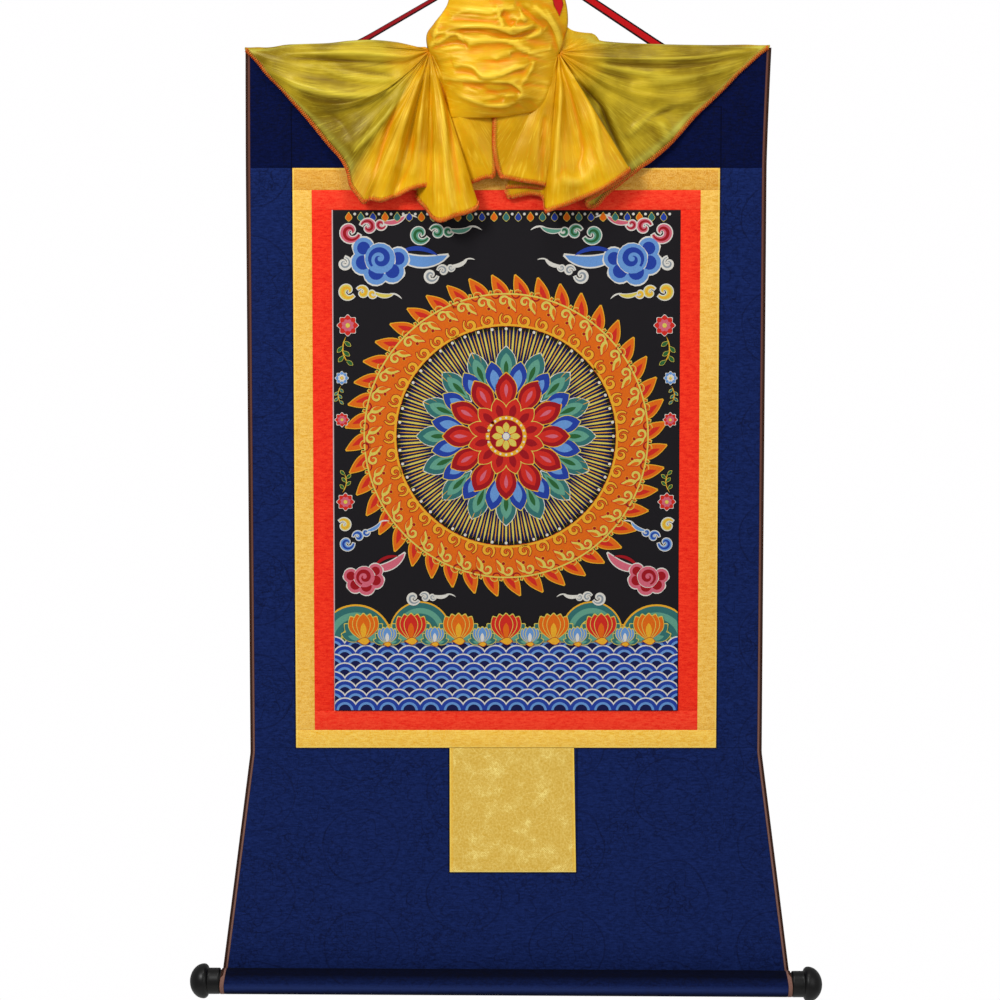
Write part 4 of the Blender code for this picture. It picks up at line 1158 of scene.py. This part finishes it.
WAVES, WAVE_ROWS, WAVES_ACROSS = 98.0, 8, 16     # height of the band of waves, and its repeats
ROSETTE_RISE = 34.0
PICTURE_MIDDLE = (PICTURE_LOW + PICTURE_HIGH) / 2
HALF_X, HALF_Z = (PICTURE_HIGH - PICTURE_LOW)[[0, 2]] / 2

motifs = []


def turned(points, degrees):
    """Points of a plane turned about its origin."""
    c, s = math.cos(math.radians(degrees)), math.sin(math.radians(degrees))
    return points @ np.array([[c, s], [-s, c]])


def put(line, half, colour, layer, at=(0.0, 0.0), turn=0.0, size=1.0, edge=None, grow=0.9):
    """A motif: a line with a half width at each point, turned, scaled and set down. With an edge
    colour, a wider copy is laid under it, so that it gets an outline."""
    line, half = line * size, np.broadcast_to(half, len(line)) * size
    if edge is not None:
        wide = line.copy()
        if np.linalg.norm(line[-1] - line[0]) > 1e-6:
            wide[0] -= unit(line[1] - line[0]) * grow
            wide[-1] += unit(line[-1] - line[-2]) * grow
        put(wide, half + grow, edge, layer - 1, at, turn)
    placed = turned(line, turn) + at
    run = unit(np.gradient(placed, axis=0))
    off = np.stack([-run[:, 1], run[:, 0]], axis=1) * half[:, None]
    motifs.append((placed + off, placed - off, colour, layer))


def round_dot(radius, points=9):
    """A disc as a line across it, with half widths of the circle's chord."""
    across = -radius * np.cos(np.linspace(0, math.pi, points))
    return np.stack([across, np.zeros(points)], axis=1), np.sqrt(np.maximum(radius**2 - across**2, 0)) + TIP


def hoop(radius, width, points=97):
    """A ring: a closed circle of constant half width."""
    turn = np.linspace(0, 2 * math.pi, points)
    return radius * np.stack([np.cos(turn), np.sin(turn)], axis=1), np.full(points, width / 2)


def petal(length, width, points=11, fullest=0.6):
    """A petal along +X: its half width swells to its fullest place and closes to a tip."""
    t = np.linspace(0, 1, points)
    half = width / 2 * np.sin(math.pi * t ** (math.log(0.5) / math.log(fullest))) ** 0.8
    return np.stack([t * length, np.zeros(points)], axis=1), half + TIP


def curl(radius, turns, width, points=22):
    """A scroll: a spiral that winds in to its eye, its half width tapering at both ends."""
    t = np.linspace(0, 1, points)
    turn, reach = 2 * math.pi * turns * t, radius * (1 - 0.8 * t)
    half = width / 2 * np.clip(np.sin(math.pi * (0.12 + 0.88 * t)), 0.12, 1)
    return np.stack([reach * np.cos(turn), reach * np.sin(turn)], axis=1), half


def sweep(length, rise, width, points=12):
    """A curved stroke: a parabola's arc that is widest at its middle."""
    t = np.linspace(0, 1, points)
    half = width / 2 * np.sin(math.pi * t) ** 0.6
    return np.stack([t * length, rise * 4 * t * (1 - t)], axis=1), half + TIP


def around(count, radius, shape, colour, layer, start=0.0, lean_by=0.0, **more):
    """A motif repeated on a circle, each turned outwards."""
    for k in range(count):
        turn = start + 360.0 * k / count
        at = radius * math.cos(math.radians(turn)), radius * math.sin(math.radians(turn))
        put(*shape, colour, layer, at=at, turn=turn + lean_by, **more)


def settle(first, size, at, turn=0.0):
    """Turns and scales every motif drawn since the first one about the middle, and then moves it."""
    for k in range(first, len(motifs)):
        *sides, colour, layer = motifs[k]
        motifs[k] = (*(turned(side, turn) * size + at for side in sides), colour, layer)


def cloud(at, dark, light, size=1.0, turn=0.0, layer=5):
    """A cloud head: five lobes with white rims round a banded scroll, and a tail that trails off."""
    first = len(motifs)
    put(*sweep(46, 7, 9), light, layer - 2, at=(10, -9), turn=-12, edge=WHITE, grow=1.3)
    put(*sweep(34, -5, 4), dark, layer - 1, at=(14, -9), turn=-12)
    for angle, reach, radius in ((200, 17, 9), (145, 16, 10), (90, 15, 11), (35, 16, 10), (-20, 16, 9)):
        spot = (reach * math.cos(math.radians(angle)), reach * math.sin(math.radians(angle)) * 0.8)
        put(*round_dot(radius), light, layer, at=spot, edge=WHITE, grow=1.4)
        put(*round_dot(radius * 0.62), dark, layer + 1, at=spot)
    put(*round_dot(13), light, layer + 2, edge=WHITE, grow=0.8)
    put(*curl(9.5, 1.35, 5.0, 30), dark, layer + 4, turn=120)
    settle(first, size, at, turn)


def scroll(at, turn, size, dark, light):
    """A lone C-scroll with a white rim: a wide curl, its band and its eye."""
    put(*curl(13, 1.1, 9.5, 30), light, 4, at=at, turn=turn, size=size, edge=WHITE, grow=1.3)
    put(*curl(13, 1.05, 4.0, 30), dark, 6, at=at, turn=turn, size=size)


def chain(at, turn, size, dark, light):
    """A string of three C-scrolls that shrink and take turns up and down, with a wavy tail."""
    first = len(motifs)
    for k, (x, y, scale) in enumerate(((0, 0, 1.0), (23, -5, 0.74), (40, -7, 0.5))):
        put(*curl(12, 1.05, 10.0, 26), light, 4 + 3 * k, at=(x, y), turn=200 if k % 2 else 20, size=scale,
            edge=WHITE, grow=1.5)
        put(*curl(12, 1.0, 4.2, 26), dark, 6 + 3 * k, at=(x, y), turn=200 if k % 2 else 20, size=scale)
    put(*sweep(30, 4, 5.5), light, 3, at=(42, -10), turn=-10, edge=WHITE, grow=1.2)
    put(*sweep(22, -3, 2.6), WHITE, 3, at=(66, -15), turn=8)
    settle(first, size, at, turn)


def lotus(at, size, petals, tip, layer=34):
    """A lotus head seen from the side: outer petals that lean out, inner ones that stand, and sepals."""
    for turn, long, wide in ((18, 30, 12), (162, 30, 12), (42, 33, 15), (138, 33, 15)):
        put(*petal(long, wide), TEAL, layer, at=at, turn=turn, size=size, edge=STRAW, grow=0.8)
        put(*petal(long * 0.7, wide * 0.5), JADE, layer + 1, at=at, turn=turn, size=size)
    for k, turn in enumerate((62, 118, 76, 104, 90)):
        put(*petal(36, 17), petals, layer + 2 + 2 * k, at=at, turn=turn, size=size, edge=STRAW, grow=0.9)
        put(*petal(24, 8), tip, layer + 3 + 2 * k, at=at, turn=turn, size=size)
    put(*petal(16, 9), AMBER, layer + 13, at=(at[0] - 8 * size, at[1]), size=size, edge=CRIMSON, grow=0.7)


def flower(at, size, outer, inner, heart=STRAW):
    """A flower head of two rings of petals round a seeded heart."""
    for k in range(8):
        put(*petal(15, 9), outer, 6, at=at, turn=45 * k, size=size, edge=WHITE, grow=0.7)
    for k in range(8):
        put(*petal(9.5, 6), inner, 8, at=at, turn=45 * k + 22.5, size=size)
    put(*round_dot(3.2), heart, 9, at=at, size=size, edge=ORANGE, grow=0.6)


def spray(at, turn, size, leaves):
    """A leafy stem that curves from a place."""
    put(*sweep(46, 8, 2.2), AMBER, 4, at=at, turn=turn, size=size)
    for k, t in enumerate(np.linspace(1, 5, 5) / 6):
        spot = turned(np.array([46 * t, 32 * t * (1 - t)]) * size, turn) + at
        put(*petal(13, 6), leaves, 5, at=spot, turn=turn + (48 if k % 2 else -48), size=size,
            edge=STRAW, grow=0.5)


def draw_rosette():
    """Tongues of leaf round a ring of scrolls, the rayed field, the lotus petals and the pearls."""
    first = len(motifs)
    around(44, 176, petal(36, 17, fullest=0.35), ORANGE, 1, lean_by=30, edge=AMBER, grow=1.2)
    around(44, 178, petal(25, 8, fullest=0.35), SCARLET, 2, lean_by=30)
    around(44, 184, curl(8.0, 1.1, 5.6), ORANGE, 3, start=4.0, lean_by=60, edge=STRAW, grow=1.0)
    around(44, 184, curl(7.0, 1.0, 2.0), CRIMSON, 5, start=4.0, lean_by=60)
    for radius in (148.5, 159.5, 170.5, 178.5):
        put(*hoop(radius, 12.5, 181), ORANGE, 3)
    put(*hoop(184, 2.0, 181), STRAW, 5)
    put(*hoop(144, 2.6, 181), AMBER, 6)
    for radius in np.arange(9.0, 140.0, 17.0):
        put(*hoop(radius, 18.5, 97), INDIGO, 4)
    around(40, 151, curl(9.0, 1.3, 4.2), AMBER, 6, lean_by=35, edge=CRIMSON, grow=0.9)
    around(40, 161, petal(21, 9), STRAW, 6, start=4.5, lean_by=30, edge=SCARLET, grow=1.0)
    around(40, 164, petal(14, 4.5), ORANGE, 8, start=4.5, lean_by=30)
    around(40, 175, curl(7.4, 1.25, 3.4), STRAW, 6, start=1, lean_by=-120, edge=SCARLET, grow=0.8)
    around(40, 166, round_dot(2.1, 7), CRIMSON, 8, start=-1.2, edge=AMBER, grow=0.6)
    around(88, 90, petal(53, 2.6, points=5), STRAW, 6)
    around(88, 100, petal(40, 1.4, points=5), AMBER, 7, start=2.05)
    around(48, 139, round_dot(2.0, 5), WHITE, 6)
    around(16, 64, petal(52, 25), TEAL, 7, edge=WHITE, grow=1.0)
    around(16, 68, petal(40, 15), JADE, 8)
    around(16, 74, petal(24, 6), LEAF, 9)
    around(16, 52, petal(46, 22), BLUE, 9, start=11.25, edge=STRAW, grow=1.0)
    around(16, 56, petal(32, 12), SKY, 10, start=11.25)
    around(12, 30, petal(52, 27), CRIMSON, 11, edge=AMBER, grow=1.1)
    around(12, 36, petal(38, 17), SCARLET, 12)
    around(12, 50, petal(18, 5), PINK, 13)
    around(12, 14, petal(36, 19), SCARLET, 14, start=15, edge=STRAW, grow=1.0)
    around(12, 20, petal(22, 9), CRIMSON, 15, start=15)
    put(*hoop(24, 5), AMBER, 15, edge=CRIMSON, grow=0.6)
    around(20, 24, round_dot(1.5, 5), WHITE, 17)
    put(*round_dot(21, 17), CRIMSON, 16)
    around(8, 3, petal(15, 8), STRAW, 17, edge=ORANGE, grow=0.6)
    put(*round_dot(4.5), WHITE, 18, edge=BLUE, grow=1.0)
    settle(first, 1.0, (0.0, ROSETTE_RISE))


def draw_corners():
    """Clouds, chains of scrolls, flowers and sprays in the four corners and down the sides, drawn at
    the right and turned over about the upright middle line for the left."""
    top, low = HALF_Z - 12, -HALF_Z + WAVES
    for side in (-1, 1):
        first = len(motifs)
        cloud((HALF_X - 62, top - 50), BLUE, SKY, 1.5, -164)
        chain((HALF_X - 24, top - 16), 176, 1.0, CRIMSON, PINK)
        chain((HALF_X - 114, top - 19), 184, 0.9, LEAF, JADE)
        chain((HALF_X - 20, top - 92), 196, 0.8, AMBER, STRAW)
        chain((HALF_X - 128, top - 72), 168, 0.68, GREY, WHITE)
        scroll((HALF_X - 16, top - 56), 100, 0.6, GREY, WHITE)
        flower((HALF_X - 20, top - 136), 0.9, SCARLET, PINK)
        spray((HALF_X - 18, top - 150), -96, 0.8, LEAF)
        flower((HALF_X - 12, top - 204), 0.55, SKY, WHITE)
        spray((HALF_X - 11, top - 214), -90, 0.5, TEAL)
        flower((HALF_X - 12, top - 258), 0.6, SCARLET, PINK)
        cloud((HALF_X - 40, low + 78), CRIMSON, PINK, 1.05, 168)
        chain((HALF_X - 18, low + 122), 160, 0.7, BLUE, SKY)
        scroll((HALF_X - 14, low + 146), 40, 0.6, AMBER, STRAW)
        flower((HALF_X - 16, low + 176), 0.75, SCARLET, PINK)
        spray((HALF_X - 12, low + 188), 92, 0.6, LEAF)
        chain((HALF_X - 104, low + 50), 186, 0.62, GREY, WHITE)
        if side < 0:
            motifs[first:] = [(right * (-1, 1), left * (-1, 1), colour, layer)
                              for left, right, colour, layer in motifs[first:]]


def rings(at, radius, points, layer, *shares):
    """Discs of one middle, each a share of the radius and a layer over the last."""
    for step, (share, colour) in enumerate(shares):
        put(*round_dot(radius * share, points), colour, layer + step, at=at)


def draw_bands():
    """Waves in rows of overlapping scales at the foot, each row before the last, with mounds and
    lotus heads over them, and a garland of beads at the top."""
    pitch = 2 * HALF_X / WAVES_ACROSS
    for row in range(WAVE_ROWS):
        z = -HALF_Z + WAVES - 8 - (WAVES - 6) / WAVE_ROWS * row - 9
        level = np.stack([np.linspace(MARGIN - HALF_X, HALF_X - MARGIN, 24), np.full(24, z)], axis=1)
        put(level, 9.0, INDIGO, 1 + 4 * row)
        for k in range(WAVES_ACROSS + 1 + row % 2):
            rings(((k - (WAVES_ACROSS + row % 2) / 2) * pitch, z), pitch * 0.62, 13, 2 + 4 * row,
                  (1, WHITE), (0.9, BLUE), (0.64, SKY), (0.46, INDIGO))
    for side in (-1, 1):
        for place, (radius, lift) in enumerate(((34, 4), (40, 20), (30, 0), (48, 8))):
            rings((side * (70 + 42.0 * place), WAVES - HALF_Z - 14 + lift), radius, 25,
                  -14 + 7 * (place % 2), (1, AMBER), (0.95, TEAL), (0.78, JADE), (0.6, TEAL),
                  (0.42, STRAW), (0.37, LEAF))
    for k in range(7):
        colours = (SCARLET, ORANGE) if k % 2 else (ORANGE, AMBER)
        lotus(((k - 3) * 62.0, WAVES - HALF_Z - 6), 1.0, *colours)
    for k in range(6):
        lotus(((k - 2.5) * 62.0, WAVES - HALF_Z - 10), 0.62, SKY, WHITE, layer=48)
    for k in range(27):
        x = (k - 13) * 15.6
        put(*petal(11, 8), (ORANGE, TEAL, BLUE)[k % 3], 5, at=(x, HALF_Z - 3), turn=-90,
            edge=STRAW, grow=0.6)
        put(*round_dot(1.8, 5), WHITE, 7, at=(x + 7.8, HALF_Z - 5))


def picture_finish(coloured):
    """Silk weave: crossed threads over the motif's own colour, a little uneven, with a low gloss."""
    made, thread = new_finish("woven picture" if coloured else "picture ground")
    across, along = cloth_place(thread)
    weft, warp = along.wave(0.9), across.wave(1.1)
    own = thread.painted("dyed", out=0) if coloured else BLACK_SILK
    shade = (weft * 0.22 + warp * 0.12 + thread.noise(700.0) * 0.75 - 0.1).held()
    colour = thread.blend(shade, thread.blend(0.42, own, (0.01, 0.008, 0.01, 1.0)), own)
    if not coloured:
        selvedge = across.below(PICTURE_LOW[0] + SELVEDGE, 0.4)
        colour = thread.blend(selvedge, colour, dye(196, 168, 168))
    return dress(made, Base_Color=colour, Roughness=0.6, Specular_IOR_Level=0.1,
                 Normal=relief(thread, weft * 0.6 + warp * 0.4, 0.2, 0.7))


def motif_mesh():
    """All motifs as closed low slabs in one mesh, cut off at the picture's edge, each point keeping
    its motif's colour."""
    points, faces, colours, start = [], [], [], 0
    limit = np.array([HALF_X, HALF_Z]) - MARGIN
    for index, (left, right, colour, layer) in enumerate(motifs):
        count = len(left)
        front = PICTURE_FRONT + RELIEF_STEP * (layer + LOWEST) + RELIEF_SHIFT * (index % 9)
        outline = np.clip(np.concatenate([left, right[::-1]]), -limit, limit)
        x, z = (outline + PICTURE_MIDDLE[[0, 2]]).T
        points += [np.stack([x, ripple(x, z) - depth, z], axis=1)
                   for depth in (front, PICTURE_FRONT - SUNK)]
        ring, inner = np.arange(2 * count), np.arange(count - 1)
        beside = (ring + 1) % (2 * count)
        strip = np.stack([inner, inner + 1, 2 * count - 2 - inner, 2 * count - 1 - inner], axis=1)
        wall = np.stack([ring, ring + 2 * count, beside + 2 * count, beside], axis=1)
        faces += [strip[:, ::-1] + start, strip + start + 2 * count, wall[:, ::-1] + start]
        colours.append(np.broadcast_to(colour, (4 * count, 4)))
        start += 4 * count
    return np.concatenate(points), np.concatenate(faces), np.concatenate(colours)


picture = flat_cloth("picture_ground", "painting", picture_finish(False))
draw_rosette()
draw_corners()
draw_bands()
points, faces, colours = motif_mesh()
woven = add_piece("picture_motifs", points, faces, picture_finish(True), points[:, [0, 2]], smooth=False)
woven.data.attributes.new("dyed", "FLOAT_COLOR", "POINT").data.foreach_set(
    "color", colours.astype(np.float32).ravel())


# ---- Rods and knobs ---------------------------------------------------------------------
# A flat stave in the sleeve and a round roller in the foot, both of plain wood. On the roller's
# ends sit turned knobs with necks, lacquered black.

NECK_RADIUS, NECK_LENGTH = 17.0, 15.6
BRIM_RADIUS, BRIM_RISE = 22.6, 5.6  # the knob's widest place, and how far past the neck it lies
KNOB_LENGTH, KNOB_SIDES = 24.0, 72
END_SHADE, END_SHADE_EDGE = 12.0, 2.0   # painted shade, near black, covers the rods' ends so far in, with a soft edge


def wood_finish():
    """Pale planed wood with growth rings drawn out along X into streaks, fine pores, and painted
    shade, near black, at its ends beside the knobs."""
    made, thread = new_finish("plain wood")
    drawn = thread.place((0.06, 1.0, 1.0))
    growth, pores = thread.noise(160.0, 4.0, drawn), thread.noise(900.0, place=drawn)
    streak = (growth * 9.0).sine() * 0.5 + 0.5
    from_middle = abs(thread.node("SeparateXYZ", None, {0: thread.place()}) - CENTRE_X * MM)
    # Painted shade, near black, at the rods' ends.
    ends = ((from_middle - (FOOT_WIDTH / 2 - END_SHADE) * MM) / (END_SHADE_EDGE * MM)).held()
    colour = thread.blend(streak * 0.7 + pores * 0.3, dye(196, 150, 98), dye(138, 92, 52))
    colour = thread.blend(ends, colour, dye(12, 10, 10))
    return dress(made, Base_Color=colour, Roughness=0.55 + streak * 0.15, Specular_IOR_Level=0.3,
                 Normal=relief(thread, streak * 0.4 + pores * 0.6, 0.15, 0.6))


def lacquer_finish():
    """Black lacquer, glossy but worn a little dull, with faint turning lines round X."""
    made, thread = new_finish("black lacquer")
    wear = thread.noise(55.0, 5.0)
    lines = thread.noise(800.0, place=thread.place((1.0, 0.02, 0.02)))
    colour = thread.blend((wear * 1.6 - 0.5).held(), dye(4, 4, 5), dye(16, 14, 14))
    return dress(made, Base_Color=colour, Roughness=0.3 + wear * 0.22, Specular_IOR_Level=0.3,
                 Normal=relief(thread, lines, 0.05, 0.3))


def knob_profile():
    """Places along the axis and radii: a neck, a cove that swells to the brim, and a dome on half
    an ellipse."""
    neck = [(0.0, 0.0), (0.0, 16.0), (0.5, 16.8), (1.2, NECK_RADIUS)]
    neck += [(t, NECK_RADIUS) for t in np.linspace(3.0, NECK_LENGTH - 0.8, 5)]
    turn = np.linspace(0, math.pi / 2, 12)
    swell = NECK_LENGTH - 0.3 + (BRIM_RISE + 0.3) * (1 - np.cos(turn)) ** 0.9
    cove = np.stack([swell, NECK_RADIUS + 0.2 + (BRIM_RADIUS - NECK_RADIUS - 0.2) * np.sin(turn)], axis=1)
    turn = np.linspace(0, math.pi / 2, 18)[1:]
    dome = np.stack([NECK_LENGTH + BRIM_RISE + (KNOB_LENGTH - BRIM_RISE) * np.sin(turn),
                     BRIM_RADIUS * np.cos(turn)], axis=1)
    return np.concatenate([neck, cove, dome])


def make_knob(node, side, finish):
    """The profile turned about the roller's axis, outwards from the neck's foot."""
    low, high = box_of(node)
    foot = low[0] if side > 0 else high[0]
    along, radius = knob_profile().T
    turn = np.linspace(0, 2 * math.pi, KNOB_SIDES, endpoint=False)
    x = foot + side * along[:, None] + 0 * turn
    y = (low[1] + high[1]) / 2 + radius[:, None] * np.cos(turn)
    z = (low[2] + high[2]) / 2 + radius[:, None] * np.sin(turn)
    faces = grid_faces(len(along), KNOB_SIDES, ring=True)
    made = add_piece(f"{node}_turned", np.stack([x, y, z], axis=-1), faces, finish)
    weld(made)
    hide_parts(node)


wood = wood_finish()
for rod in ("stave", "roller"):
    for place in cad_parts[rod].material_slots:
        place.material = wood
lacquer = lacquer_finish()
make_knob("knob_left", -1, lacquer)
make_knob("knob_right", 1, lacquer)
